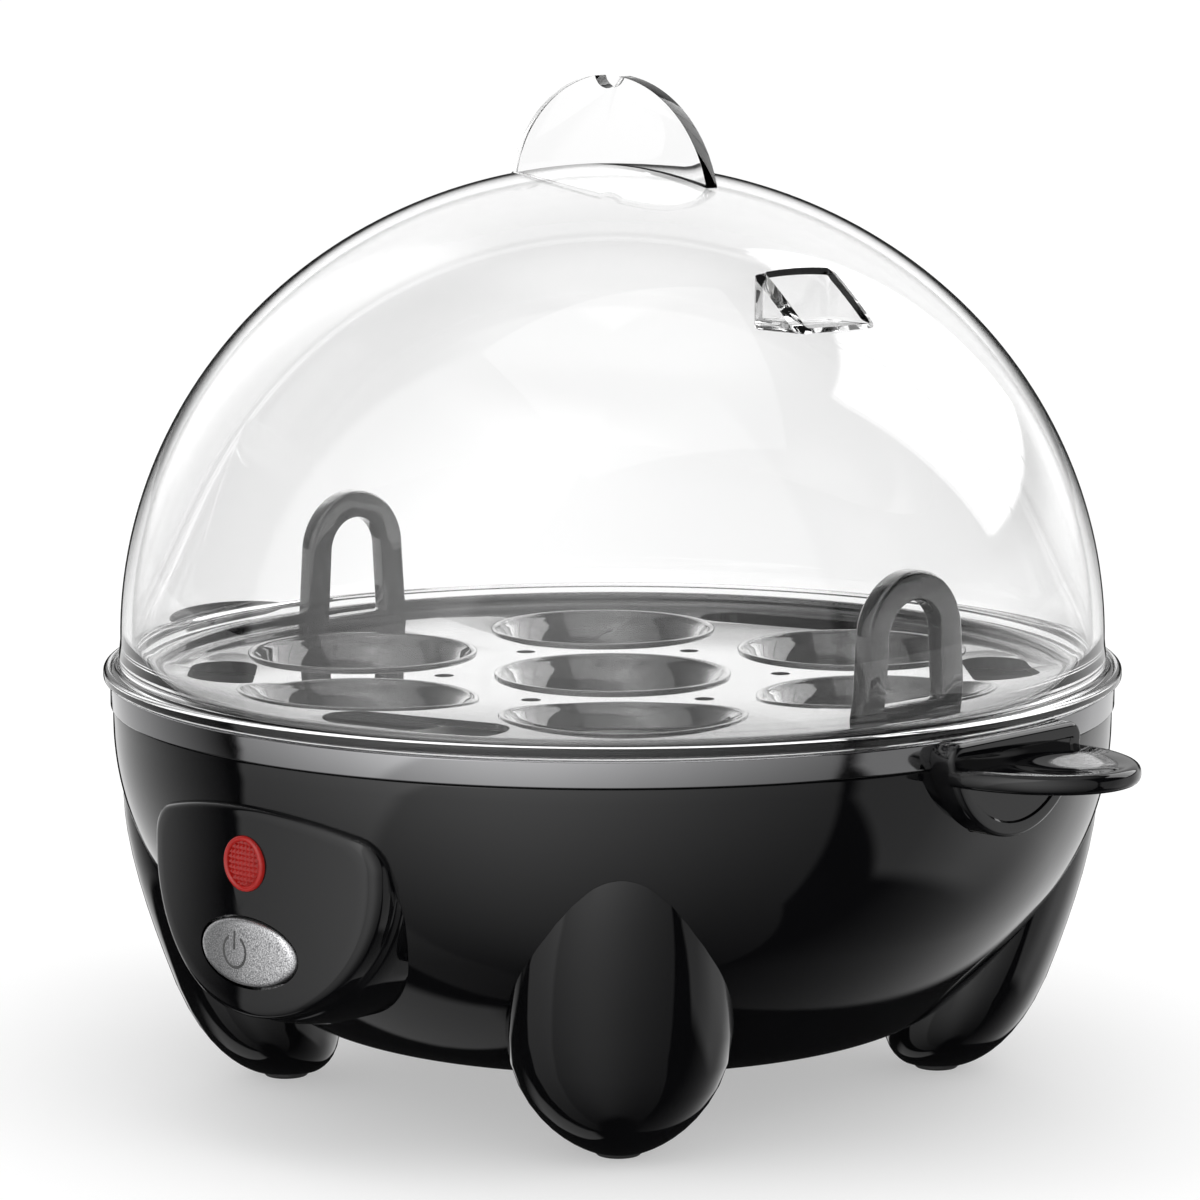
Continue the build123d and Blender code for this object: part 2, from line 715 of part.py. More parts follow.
def domeFace(inset):
    rise = domeRise - inset
    radius = domeR - inset
    curve = EllipticalCenterArc((0, domeFootZ), radius, rise, start_angle=0, arc_size=90)
    if inset:
        low = flangeZ - skirtDrop
        foot = [(0, low - 1), (skirtInnerR, low - 1), (skirtInnerR, flangeZ)]
    else:
        foot = [(0, flangeZ), (radius + domeFlare, flangeZ)]
    side = Polyline((0, domeFootZ + rise), *foot, (radius, domeFootZ))
    return make_face([*curve.edges(), *side.edges()])


def makeLid():
    outer = turned(revolve(Plane.XZ * domeFace(0), axis=Axis.Z), lidSeam)
    inner = turned(revolve(Plane.XZ * domeFace(lidT), axis=Axis.Z), lidSeam)
    flange = spun([
        (skirtInnerR, flangeZ), (lidR - 0.5, flangeZ), (lidR, flangeZ + 0.5),
        (lidR, flangeZ + flangeT), (lidR - 0.6, flangeZ + flangeT + 0.5), (lidR - 1.3, flangeZ + flangeT),
        (skirtInnerR, flangeZ + flangeT),
    ])
    low = flangeZ - skirtDrop
    skirt = spun([
        (skirtInnerR, low), (skirtOuterR, low),
        (skirtOuterR, flangeZ + 0.5), (skirtInnerR, flangeZ + 0.5),
    ])
    tab = rod(tabR, (0, -tabT / 2, tabTopZ - tabR), (0, tabT / 2, tabTopZ - tabR))
    tab -= block(-far, far, -far, far, 0, domeTopZ - tabRoot)
    notchZ = tabTopZ - notchDepth + notchR
    tab -= rod(notchR, (0, -tabT, notchZ), (0, tabT, notchZ))
    lid = outer + flange + skirt + tab - inner
    outerHalfW = ventHalfW + ventWall
    floorLow = ventFloorZ - ventWall
    pocket = block(-outerHalfW, outerHalfW, -far, -ventR + ventWall, floorLow, ventFloorZ + ventHeight)
    hollow = block(-ventHalfW, ventHalfW, -far, -ventR, ventFloorZ, far)
    slotY = -ventR - ventSlotOut
    slotNear = slotY - ventSlotW / 2
    slotFar = slotY + ventSlotW / 2
    slot = block(-ventSlotL / 2, ventSlotL / 2, slotNear, slotFar, floorLow - 1, ventFloorZ + 1)
    lid += turned(pocket, ventAngle) & outer
    lid -= turned(hollow, ventAngle)
    lid -= turned(slot, ventAngle)
    return lid


# Every piece is written as its own node
leg = makeLeg()
for name, angle in legAngles.items():
    write("leg_" + name, turned(leg, angle - 90))
arch = makeArch()
handle = makeHandle()
for name, angle in {"right": 0, "left": 180}.items():
    write("tray_handle_" + name, turned(arch, archAngle - 90 + angle))
    write("handle_" + name, turned(handle, angle))
single = {
    "base_housing": makeHousing,
    "trim_ring": makeTrimRing,
    "control_panel": makePanel,
    "indicator_lens": makeLens,
    "indicator_lamp": makeLamp,
    "power_button": makeButton,
    "button_spring": makeSpring,
    "switch_bracket": makeBracket,
    "switch_body": makeSwitch,
    "heating_plate": makePlate,
    "plate_seal": makeSeal,
    "heating_element": makeElement,
    "thermostat": makeThermostat,
    "thermal_fuse": makeFuse,
    "retaining_strap": makeStrap,
    "bottom_cover": makeCover,
    "terminal_block": makeTerminalBlock,
    "cord_inlet": makeInlet,
    "seat_tray": makeTray,
    "lid": makeLid,
}
for name, make in single.items():
    write(name, make())
groups = {
    "foot_pads": makePads,
    "handle_screws": makeHandleScrews,
    "strap_screws": makeStrapScrews,
    "plate_nuts": makeNuts,
    "cover_screws": makeCoverScrews,
}
for name, make in groups.items():
    write(name, Compound(children=make()))
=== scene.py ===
import json
from math import atan2, cos, pi, radians, sin, sqrt

import bmesh
import bpy
from mathutils import Matrix, Vector


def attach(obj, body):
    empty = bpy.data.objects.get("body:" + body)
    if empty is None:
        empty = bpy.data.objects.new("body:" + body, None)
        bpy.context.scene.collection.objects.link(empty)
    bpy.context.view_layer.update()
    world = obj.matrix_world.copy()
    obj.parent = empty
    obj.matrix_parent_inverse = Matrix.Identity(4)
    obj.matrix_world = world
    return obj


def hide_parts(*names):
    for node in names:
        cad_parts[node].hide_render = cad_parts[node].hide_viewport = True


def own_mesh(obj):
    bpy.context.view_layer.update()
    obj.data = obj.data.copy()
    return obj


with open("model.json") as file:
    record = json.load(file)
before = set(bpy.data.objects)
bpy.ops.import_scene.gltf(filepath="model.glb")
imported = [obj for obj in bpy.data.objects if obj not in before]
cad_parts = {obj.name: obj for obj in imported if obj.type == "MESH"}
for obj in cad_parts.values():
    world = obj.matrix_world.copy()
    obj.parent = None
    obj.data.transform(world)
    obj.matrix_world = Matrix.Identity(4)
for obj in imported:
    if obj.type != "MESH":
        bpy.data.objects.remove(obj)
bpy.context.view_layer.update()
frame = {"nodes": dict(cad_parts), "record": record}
print("frame loaded")

mm = 0.001
scene = bpy.context.scene


# Materials

def newMaterial(name):
    material = bpy.data.materials.new(name)
    material.use_nodes = True
    return material, material.node_tree, material.node_tree.nodes["Principled BSDF"]


def objectNoise(tree, size, detail):
    place = tree.nodes.new("ShaderNodeTexCoord")
    noise = tree.nodes.new("ShaderNodeTexNoise")
    noise.inputs["Scale"].default_value = 1 / size
    noise.inputs["Detail"].default_value = detail
    tree.links.new(place.outputs["Object"], noise.inputs["Vector"])
    return noise.outputs["Fac"]


# Brings the run of a value from start to stop to the run from low to high
def mapped(tree, value, start, stop, low=0.0, high=1.0, smooth=False):
    ramp = tree.nodes.new("ShaderNodeMapRange")
    if smooth:
        ramp.interpolation_type = "SMOOTHSTEP"
    ramp.inputs["From Min"].default_value = start
    ramp.inputs["From Max"].default_value = stop
    ramp.inputs["To Min"].default_value = low
    ramp.inputs["To Max"].default_value = high
    tree.links.new(value, ramp.inputs["Value"])
    return ramp.outputs["Result"]


noiseRun = (0.3, 0.7)       # nearly all of a noise's values lie between these


def spread(tree, noise, low, high):
    return mapped(tree, noise, *noiseRun, low, high)


def tint(tree, factor, dark, light):
    mix = tree.nodes.new("ShaderNodeMix")
    mix.data_type = "RGBA"
    mix.inputs[6].default_value = (*dark, 1)
    mix.inputs[7].default_value = (*light, 1)
    tree.links.new(factor, mix.inputs["Factor"])
    return mix.outputs[2]


def bump(tree, shader, height, depth):
    node = tree.nodes.new("ShaderNodeBump")
    node.inputs["Distance"].default_value = depth
    tree.links.new(height, node.inputs["Height"])
    tree.links.new(node.outputs["Normal"], shader.inputs["Normal"])


# A moulded or painted surface: slow colour change, fine roughness change and relief
def surface(name, dark, light, rough, grain, relief, metal=0.0):
    material, tree, shader = newMaterial(name)
    fine = objectNoise(tree, grain, 3)
    broad = objectNoise(tree, 14 * mm, 2)
    tree.links.new(tint(tree, broad, dark, light), shader.inputs["Base Color"])
    tree.links.new(spread(tree, fine, *rough), shader.inputs["Roughness"])
    shader.inputs["Metallic"].default_value = metal
    if relief:
        bump(tree, shader, fine, relief)
    return material


plastic = {
    "ior": 1.49, "coatRough": 0.02, "wave": 9 * mm,
    # limb: the painted shade on a clear wall that turns away, from where it begins to where it is darkest
    "limb": (0.84, 0.905),      # where a wall that turns away begins to darken, and where it is darkest
}


# Clear or smoky moulding: glass for the eye, open to the lamps' light, with painted shade along the edges
# where its wall turns away when rim is below 1
def clearMoulding(name, rough, absorbed, density, shadow, body=1.0, rim=1.0, clear=1.0, coat=0.0):
    material, tree, shader = newMaterial(name)
    # Painted shade: the base colour falls from body to rim times body where the wall turns away from the eye
    facing = tree.nodes.new("ShaderNodeLayerWeight")
    edge = mapped(tree, facing.outputs["Facing"], *plastic["limb"], body, rim * body)
    tree.links.new(edge, shader.inputs["Base Color"])
    wave = objectNoise(tree, plastic["wave"], 2)
    tree.links.new(spread(tree, wave, *rough), shader.inputs["Roughness"])
    shader.inputs["Transmission Weight"].default_value = clear
    shader.inputs["Coat Weight"].default_value = coat
    shader.inputs["Coat Roughness"].default_value = plastic["coatRough"]
    shader.inputs["IOR"].default_value = plastic["ior"]
    output = tree.nodes["Material Output"]
    absorb = tree.nodes.new("ShaderNodeVolumeAbsorption")
    absorb.inputs["Color"].default_value = (*absorbed, 1)
    absorb.inputs["Density"].default_value = density
    tree.links.new(absorb.outputs["Volume"], output.inputs["Volume"])
    path = tree.nodes.new("ShaderNodeLightPath")
    through = tree.nodes.new("ShaderNodeBsdfTransparent")
    through.inputs["Color"].default_value = (*shadow, 1)
    mix = tree.nodes.new("ShaderNodeMixShader")
    tree.links.new(path.outputs["Is Shadow Ray"], mix.inputs[0])
    tree.links.new(shader.outputs["BSDF"], mix.inputs[1])
    tree.links.new(through.outputs["BSDF"], mix.inputs[2])
    tree.links.new(mix.outputs["Shader"], output.inputs["Surface"])
    return material


def makeRedLens():
    red = {
        "dark": (0.30, 0.006, 0.006), "light": (0.48, 0.018, 0.014), "grain": 0.8 * mm,
        "clear": 0.2, "rough": 0.12, "paintedGlow": (1.0, 0.05, 0.03), "paintedGlowLevel": 0.03,
    }
    material, tree, shader = newMaterial("redLens")
    fine = objectNoise(tree, red["grain"], 3)
    tree.links.new(tint(tree, fine, red["dark"], red["light"]), shader.inputs["Base Color"])
    shader.inputs["Transmission Weight"].default_value = red["clear"]
    shader.inputs["Roughness"].default_value = red["rough"]
    # A faint painted glow: the lens gives off red light of its own, though the scene has no lamp behind it
    shader.inputs["Emission Color"].default_value = (*red["paintedGlow"], 1)
    shader.inputs["Emission Strength"].default_value = red["paintedGlowLevel"]
    return material


def makeSilver():
    silver = {
        "dark": (0.22, 0.22, 0.23), "light": (0.9, 0.9, 0.91), "flake": 0.2 * mm,
        "metal": 0.95, "rough": (0.4, 0.24), "relief": 0.02 * mm,
    }
    material, tree, shader = newMaterial("silverPaint")
    flake = objectNoise(tree, silver["flake"], 1)
    fleck = tint(tree, spread(tree, flake, 0, 1), silver["dark"], silver["light"])
    tree.links.new(fleck, shader.inputs["Base Color"])
    tree.links.new(spread(tree, flake, *silver["rough"]), shader.inputs["Roughness"])
    shader.inputs["Metallic"].default_value = silver["metal"]
    bump(tree, shader, flake, silver["relief"])
    return material


pianoBlack = surface(
    "pianoBlack", (0.0015, 0.0015, 0.0018), (0.003, 0.003, 0.0035),
    rough=(0.02, 0.04), grain=2.5 * mm, relief=0.0015 * mm,
)
brightTrim = surface(
    "brightTrim", (0.27, 0.27, 0.275), (0.30, 0.30, 0.305),
    rough=(0.06, 0.10), grain=0.5 * mm, relief=0.0, metal=1.0,
)
# The lid's rim of 0.02 paints dark shade along the dome's edges as they turn away
clearLid = clearMoulding(
    "clearLid", rough=(0.0, 0.015), absorbed=(0.5, 0.5, 0.5), density=20.0,
    shadow=(0.93, 0.94, 0.94), rim=0.02,
)
smokyPlastic = clearMoulding(
    "smokyPlastic", rough=(0.02, 0.06), absorbed=(0.10, 0.10, 0.105), density=440.0,
    shadow=(0.45, 0.45, 0.46), body=0.12, clear=0.88, coat=1.0,
)
spunMetal = surface(
    "spunMetal", (0.50, 0.50, 0.49), (0.60, 0.60, 0.59),
    rough=(0.28, 0.4), grain=0.7 * mm, relief=0.01 * mm, metal=1.0,
)
zincSteel = surface(
    "zincSteel", (0.50, 0.50, 0.47), (0.62, 0.62, 0.60),
    rough=(0.3, 0.45), grain=0.6 * mm, relief=0.01 * mm, metal=1.0,
)
softRubber = surface(
    "softRubber", (0.018, 0.018, 0.018), (0.03, 0.03, 0.03),
    rough=(0.6, 0.8), grain=0.4 * mm, relief=0.03 * mm,
)
greySilicone = surface(
    "greySilicone", (0.48, 0.48, 0.46), (0.56, 0.56, 0.54),
    rough=(0.4, 0.5), grain=0.8 * mm, relief=0.02 * mm,
)
heatPlastic = surface(
    "heatPlastic", (0.70, 0.68, 0.62), (0.78, 0.76, 0.71),
    rough=(0.4, 0.55), grain=0.6 * mm, relief=0.02 * mm,
)
grainedBlack = surface(
    "grainedBlack", (0.016, 0.016, 0.017), (0.03, 0.03, 0.03),
    rough=(0.42, 0.6), grain=0.5 * mm, relief=0.04 * mm,
)
symbolPaint = surface(
    "symbolPaint", (0.05, 0.05, 0.05), (0.08, 0.08, 0.08),
    rough=(0.4, 0.5), grain=0.4 * mm, relief=0.0,
)
redLens = makeRedLens()
silverPaint = makeSilver()
print("materials made")


# Shapes are drawn in millimetres, and brought to metres when they become a piece

weld = 0.001        # corners nearer than this become one
sliver = 0.0005     # edges shorter than this go
seam = 0.05         # between pieces of one body that lie on a curved face
past = 1.0          # how far a cut runs past the face that it opens


def arc(centre, radius, start, end, count=8):
    turns = [radians(start + (end - start) * i / count) for i in range(count + 1)]
    return [(centre[0] + radius * cos(turn), centre[1] + radius * sin(turn)) for turn in turns]


# The parts of one kind among those that an operator gives back
def only(kind, parts):
    return [part for part in parts if isinstance(part, kind)]


def welded(bm):
    bmesh.ops.remove_doubles(bm, verts=bm.verts, dist=weld)
    bmesh.ops.dissolve_degenerate(bm, edges=bm.edges, dist=sliver)
    return bm


def cleaned(bm):
    welded(bm)
    bmesh.ops.recalc_face_normals(bm, faces=bm.faces)
    return bm


# A closed outline of radii and heights, spun round the upright axis
def spun(points, steps=192):
    bm = bmesh.new()
    corners = [bm.verts.new((r, 0, z)) for r, z in points]
    runs = []
    for start, end in zip(corners, corners[1:] + corners[:1]):
        if start.co.x > 0 or end.co.x > 0:
            runs.append(bm.edges.new((start, end)))
    bmesh.ops.spin(
        bm, geom=corners + runs, cent=(0, 0, 0), axis=(0, 0, 1), angle=2 * pi, steps=steps, use_merge=True,
    )
    return cleaned(bm)


def moved(bm, matrix):
    bmesh.ops.transform(bm, matrix=matrix, verts=bm.verts)
    return bm


def turned(bm, angle):
    return moved(bm, Matrix.Rotation(radians(angle), 4, "Z"))


def rod(radius, start, end, steps=64):
    run = Vector(end) - Vector(start)
    bm = bmesh.new()
    bmesh.ops.create_cone(bm, cap_ends=True, segments=steps, radius1=radius, radius2=radius, depth=run.length)
    turn = run.to_track_quat("Z", "Y").to_matrix().to_4x4()
    return moved(bm, Matrix.Translation((Vector(start) + Vector(end)) / 2) @ turn)


def block(low, high):
    size = Vector(high) - Vector(low)
    middle = (Vector(high) + Vector(low)) / 2
    bm = bmesh.new()
    bmesh.ops.create_cube(bm, size=1, matrix=Matrix.Translation(middle) @ Matrix.Diagonal((*size, 1)))
    return bm


# A ring of given steps, pulled from place to place, and closed at both ends
def grown(steps, places):
    bm = bmesh.new()
    bmesh.ops.create_circle(bm, segments=steps, radius=1)
    bmesh.ops.transform(bm, matrix=places[0], verts=bm.verts)
    edges = list(bm.edges)
    bmesh.ops.edgeloop_fill(bm, edges=edges)
    for before, after in zip(places, places[1:]):
        pulled = bmesh.ops.extrude_edge_only(bm, edges=edges)["geom"]
        ring = only(bmesh.types.BMVert, pulled)
        edges = [edge for edge in only(bmesh.types.BMEdge, pulled) if edge.is_boundary]
        bmesh.ops.transform(bm, matrix=after @ before.inverted(), verts=ring)
    bmesh.ops.edgeloop_fill(bm, edges=edges)
    bmesh.ops.recalc_face_normals(bm, faces=bm.faces)
    return bm


def place(x, y, z, wide, deep):
    return Matrix.Translation((x, y, z)) @ Matrix.Diagonal((wide, deep, 1, 1))


# The smallest solid round circles (x, y, radius) and corners (x, y), from one height to another
def wrapped(circles, corners, low, high, steps=64):
    bm = bmesh.new()
    for z in (low, high):
        for x, y, radius in circles:
            bmesh.ops.create_circle(bm, segments=steps, radius=radius, matrix=Matrix.Translation((x, y, z)))
        for x, y in corners:
            bm.verts.new((x, y, z))
    bmesh.ops.delete(bm, geom=bm.edges, context="EDGES_FACES")
    hull = bmesh.ops.convex_hull(bm, input=bm.verts)
    bmesh.ops.delete(bm, geom=only(bmesh.types.BMVert, hull["geom_interior"]), context="VERTS")
    bmesh.ops.dissolve_limit(bm, angle_limit=radians(1), verts=bm.verts, edges=bm.edges)
    return bm


def joined(first, *others):
    for other in others:
        mesh = bpy.data.meshes.new("part")
        other.to_mesh(mesh)
        other.free()
        first.from_mesh(mesh)
        bpy.data.meshes.remove(mesh)
    return first


# Adds, takes away or keeps the common part of two closed shapes
def combined(base, tool, operation):
    shapes = []
    for name, bm in (("base", base), ("tool", tool)):
        mesh = bpy.data.meshes.new(name)
        bm.to_mesh(mesh)
        bm.free()
        shape = bpy.data.objects.new(name, mesh)
        scene.collection.objects.link(shape)
        shapes.append(shape)
    modifier = shapes[0].modifiers.new("combine", "BOOLEAN")
    modifier.operation = operation
    modifier.solver = "EXACT"
    modifier.object = shapes[1]
    graph = bpy.context.evaluated_depsgraph_get()
    result = bpy.data.meshes.new_from_object(shapes[0].evaluated_get(graph))
    bm = bmesh.new()
    bm.from_mesh(result)
    bpy.data.meshes.remove(result)
    for shape in shapes:
        mesh = shape.data
        bpy.data.objects.remove(shape)
        bpy.data.meshes.remove(mesh)
    return welded(bm)


# Rounds the edges that turn by more than the angle, or those that are given
def softened(bm, width, segments=3, angle=40, chosen=None):
    edges = [e for e in bm.edges if e.is_manifold and e.calc_face_angle() > radians(angle)]
    if chosen:
        edges = [e for e in edges if chosen(e)]
    bmesh.ops.bevel(
        bm, geom=edges, offset=width, offset_type="OFFSET", segments=segments, profile=0.5,
        affect="EDGES", clamp_overlap=True, material=-1,
    )
    return bm


modelled = set()
bodyOf = {node: body for body, nodes in frame["record"]["behaviour"]["bodies"].items() for node in nodes}
slotOf = {part["node"]: part["material_slot"] for part in frame["record"]["subparts"]}


# Brings a drawn shape to metres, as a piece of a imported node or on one
def addPiece(name, bm, material, node, replaced=(), sharp=35):
    bmesh.ops.scale(bm, vec=(mm, mm, mm), verts=bm.verts)
    mesh = bpy.data.meshes.new(name)
    bm.to_mesh(mesh)
    bm.free()
    mesh.materials.append(material)
    mesh.shade_smooth()
    mesh.set_sharp_from_angle(angle=radians(sharp))
    piece = bpy.data.objects.new(name, mesh)
    scene.collection.objects.link(piece)
    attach(piece, bodyOf[node])
    if replaced:
        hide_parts(*replaced)
    return piece


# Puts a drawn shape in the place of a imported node
def dressed(node, bm, material, sharp=35):
    modelled.add(node)
    return addPiece(node + "Shell", bm, material, node, [node], sharp)


# Turns a shape drawn flat, facing up, so that it faces the front at the given place
def facingFront(bm, y, z):
    return moved(bm, Matrix.Translation((0, y, z)) @ Matrix.Rotation(pi / 2, 4, "X"))


# Bowl of the base

bowl = {
    "radius": 81.0, "curveTop": 60.0, "top": 62.4, "bottom": 10.9, "wall": 2.2, "edge": 0.4,
    "arcs": ((46.0, 36.0, 30), (120.0, 11.0, 10), (18.0, 43.0, 24)),     # radius, turn, steps
    "lipOuter": 79.7, "lipInner": 78.8, "lipTop": 66.2,
    "ledgeInner": 73.0, "ledgeLow": 56.0, "ledgeTop": 58.0, "ledgeStep": 0.5,
    "shelfInner": 38.0, "shelfLow": 13.1, "shelfTop": 15.1, "shelfStep": 0.4, "coverHole": 43.75,
    "bossRing": 35.5, "bossRadius": 4.0, "bossTop": 25.0, "bossSunk": 0.5, "screw": 1.55, "screwStop": 2.0,
    "strapNear": 56.0, "strapFar": 80.0, "strapHalf": 7.0, "strapLow": 27.0, "strapTop": 33.9,
    "strapScrew": 62.0, "inletZ": 38.0, "inlet": 5.05, "inletRun": (60.0, 90.0),
    "gripScrewY": 5.5, "gripScrewZ": 53.2, "gripScrew": 1.7, "gripScrewRun": (64.0, 84.0),
}


# Outer wall of the bowl from its straight top down to its flat bottom, moved inwards by inset
def bowlCurve(inset=0.0):
    x, z, heading = bowl["radius"], bowl["curveTop"], 0.0
    points = [(x - inset, z)]
    for radius, turn, steps in bowl["arcs"]:
        cx = x - radius * cos(radians(heading))
        cz = z + radius * sin(radians(heading))
        points += arc((cx, cz), radius - inset, -heading, -heading - turn, steps)[1:]
        heading += turn
        x = cx + radius * cos(radians(heading))
        z = cz - radius * sin(radians(heading))
    return points


def solidBowl(gap=seam, top=None):
    top = top or bowl["top"]
    curve = bowlCurve(-gap)
    return spun([(0, top), (bowl["radius"] + gap, top), *curve, (0, curve[-1][1])])


def makeBowl():
    edge, above = bowl["edge"], bowl["ledgeLow"] - bowl["ledgeStep"]
    inner = [(r, z) for r, z in bowlCurve(bowl["wall"]) if bowl["shelfTop"] < z < above]
    shell = spun([
        (bowl["lipOuter"], bowl["top"]), (bowl["radius"] - edge, bowl["top"]),
        *arc((bowl["radius"] - edge, bowl["top"] - edge), edge, 90, 0, 4),
        *bowlCurve(),
        (bowl["coverHole"], bowl["bottom"]), (bowl["coverHole"], bowl["shelfLow"]),
        (bowl["shelfInner"], bowl["shelfLow"]), (bowl["shelfInner"], bowl["shelfTop"]),
        (inner[-1][0] - bowl["shelfStep"], bowl["shelfTop"]), *reversed(inner),
        (inner[0][0], bowl["ledgeLow"]), (bowl["ledgeInner"], bowl["ledgeLow"]),
        (bowl["ledgeInner"], bowl["ledgeTop"]), (bowl["lipInner"], bowl["ledgeTop"]),
        (bowl["lipInner"], bowl["lipTop"]), (bowl["lipOuter"], bowl["lipTop"]),
    ], steps=256)
    added, cutters = bmesh.new(), bmesh.new()
    low, high = bowl["shelfLow"] + bowl["bossSunk"], bowl["bossTop"]
    for turn in range(45, 360, 90):
        x, y = bowl["bossRing"] * sin(radians(turn)), bowl["bossRing"] * cos(radians(turn))
        added = joined(added, rod(bowl["bossRadius"], (x, y, low), (x, y, high), 32))
        hole = rod(bowl["screw"], (x, y, bowl["bottom"] - past), (x, y, high - bowl["screwStop"]), 24)
        cutters = joined(cutters, hole)
    half, low, high = bowl["strapHalf"], bowl["strapLow"], bowl["strapTop"]
    for side in (1, -1):
        ends = sorted((side * bowl["strapNear"], side * bowl["strapFar"]))
        lug = block((ends[0], -half, low), (ends[1], half, high))
        added = joined(added, combined(lug, solidBowl(-bowl["wall"] / 2), "INTERSECT"))
        x = side * bowl["strapScrew"]
        cutters = joined(cutters, rod(bowl["screw"], (x, 0, low - past), (x, 0, high + past), 24))
        near, far = bowl["gripScrewRun"]
        for y in (-bowl["gripScrewY"], bowl["gripScrewY"]):
            z = bowl["gripScrewZ"]
            cutters = joined(cutters, rod(bowl["gripScrew"], (side * near, y, z), (side * far, y, z), 24))
    near, far = bowl["inletRun"]
    z = bowl["inletZ"]
    cutters = joined(cutters, rod(bowl["inlet"], (0, near, z), (0, far, z), 64))
    cutters = joined(cutters, podShape(pod["window"], pod["cutSteps"]))
    shell = combined(shell, added, "UNION")
    shell = combined(shell, cutters, "DIFFERENCE")
    dressed("base_housing", shell, pianoBlack)


def makeTrim():
    trim = {"inner": 79.75, "outer": 81.4, "low": 62.45, "top": 66.6, "round": 0.5, "lowRound": 0.25}
    edge, foot = trim["round"], trim["lowRound"]
    ring = spun([
        (trim["inner"], trim["low"]),
        *arc((trim["outer"] - foot, trim["low"] + foot), foot, -90, 0, 4),
        *arc((trim["outer"] - edge, trim["top"] - edge), edge, 0, 90, 6),
        (trim["inner"], trim["top"]),
    ], steps=256)
    dressed("trim_ring", ring, brightTrim)


# Legs

legs = {
    "angles": {"leg_front_right": 44, "leg_back_right": 136, "leg_back_left": 224, "leg_front_left": 316},
    "widest": 21.0, "rise": 36.0, "ring": 60.4, "deep": 13.0, "wide": 17.4,
    "leanLow": 0.34, "leanHigh": 0.359, "highPower": 2.3, "deepPower": 2.5, "widePower": 1.9,
    "levels": (1, 1.25, 1.7, 2.4, 3.4, 4.8, 6.6, 9, 12, 16, 21, 25, 29, 33, 37, 41, 44, 47, 50, 53, 55.5),
}


def legPlace(z):
    if z < legs["widest"]:
        t = (legs["widest"] - z) / legs["widest"]
        deep = (1 - t ** legs["deepPower"]) ** (1 / legs["deepPower"])
        wide = (1 - t ** legs["widePower"]) ** (1 / legs["widePower"])
        centre = legs["ring"] + legs["leanLow"] * (z - legs["widest"])
    else:
        t = (z - legs["widest"]) / legs["rise"]
        deep = wide = (1 - t ** legs["highPower"]) ** (1 / legs["highPower"])
        centre = legs["ring"] + legs["leanHigh"] * (z - legs["widest"])
    return place(centre, 0, z, legs["deep"] * deep, legs["wide"] * wide)


for node, angle in legs["angles"].items():
    leg = grown(128, [legPlace(z) for z in legs["levels"]])
    leg = combined(turned(leg, angle - 90), solidBowl(), "DIFFERENCE")
    dressed(node, leg, pianoBlack, sharp=50)
print("legs made")


# Control panel: a pod with a curved face, its lens and its button

pod = {
    "face": 81.9, "halfWidth": 25.0, "middle": 42.0, "waist": 46.0, "bottom": 22.8,
    "corner": 5.5, "top": 55.8, "arch": 82.0,
    "steps": 240, "cutSteps": 60, "cornerSteps": 12, "archSteps": 40, "lowSteps": 120,
    "skin": (                       # width, height and depth of each ring, from the bowl to the face
        (1.03, 1.14, -34), (1.03, 1.14, -12), (1.028, 1.10, -8), (1.025, 1.06, -5.2), (1.018, 1.04, -4.5),
        (1.003, 1.012, -4.1), (1.0, 1.0, -3.5), (1.0, 1.0, -1.4), (0.99, 0.99, -0.75), (0.975, 0.975, -0.33),
        (0.955, 0.955, -0.09), (0.93, 0.93, 0), (0.86, 0.86, 0), (0.75, 0.75, 0), (0.6, 0.6, 0),
        (0.45, 0.45, 0), (0.3, 0.3, 0), (0.15, 0.15, 0),
    ),
    "hollow": ((0.91, 0.91, -40), (0.91, 0.91, -2.2)),
    "window": ((0.864, 0.8, -30), (0.864, 0.8, 2)),         # the opening in the bowl behind the pod
    "post": 2.4, "postX": 15.5, "postZ": 42.5, "postEnd": 64.0, "postSunk": 0.8,
}


# Points an equal way apart along a closed outline
def evenly(points, count):
    ends = points[1:] + points[:1]
    lengths = [(Vector(b) - Vector(a)).length for a, b in zip(points, ends)]
    step = sum(lengths) / count
    spaced, gone = [], 0.0
    for a, b, length in zip(points, ends, lengths):
        while len(spaced) * step < gone + length and len(spaced) < count:
            spaced.append(tuple(Vector(a).lerp(Vector(b), (len(spaced) * step - gone) / length)))
        gone += length
    return spaced


# The pod's face from the front: a half ellipse, upright sides, round corners and an arch
def podOutline():
    wide, corner = pod["halfWidth"], pod["corner"]
    archLow = pod["top"] - pod["arch"]
    cornerX = wide - corner
    cornerZ = archLow + sqrt((pod["arch"] - corner) ** 2 - cornerX ** 2)
    tilt = 90 - abs(atan2(cornerX, cornerZ - archLow)) * 180 / pi
    right = [(wide, pod["waist"])] + arc((cornerX, cornerZ), corner, 0, tilt, pod["cornerSteps"])
    top = arc((0, archLow), pod["arch"], tilt, 180 - tilt, pod["archSteps"])[1:-1]
    left = [(-x, z) for x, z in reversed(right)]
    drop, count = pod["waist"] - pod["bottom"], pod["lowSteps"]
    turns = [pi - pi * i / count for i in range(1, count)]
    low = [(wide * cos(t), pod["waist"] - drop * sin(t)) for t in turns]
    return evenly(right + top + left + low, pod["steps"])


# Rings of the pod's outline, bent round the bowl's axis, from the back to the face
def podShape(skin, steps):
    bm = grown(steps, [place(0, 0, depth, wide, high) for wide, high, depth in skin])
    outline = podOutline()
    for i, vert in enumerate(bm.verts):
        wide, high, depth = skin[i // steps]
        turn = atan2(vert.co.y / high, vert.co.x / wide) / (2 * pi) % 1
        x, z = outline[round(turn * pod["steps"]) % pod["steps"]]
        x, z = wide * x, pod["middle"] + high * (z - pod["middle"])
        vert.co = (x, -sqrt(pod["face"] ** 2 - x ** 2) - depth, z)
    return bm


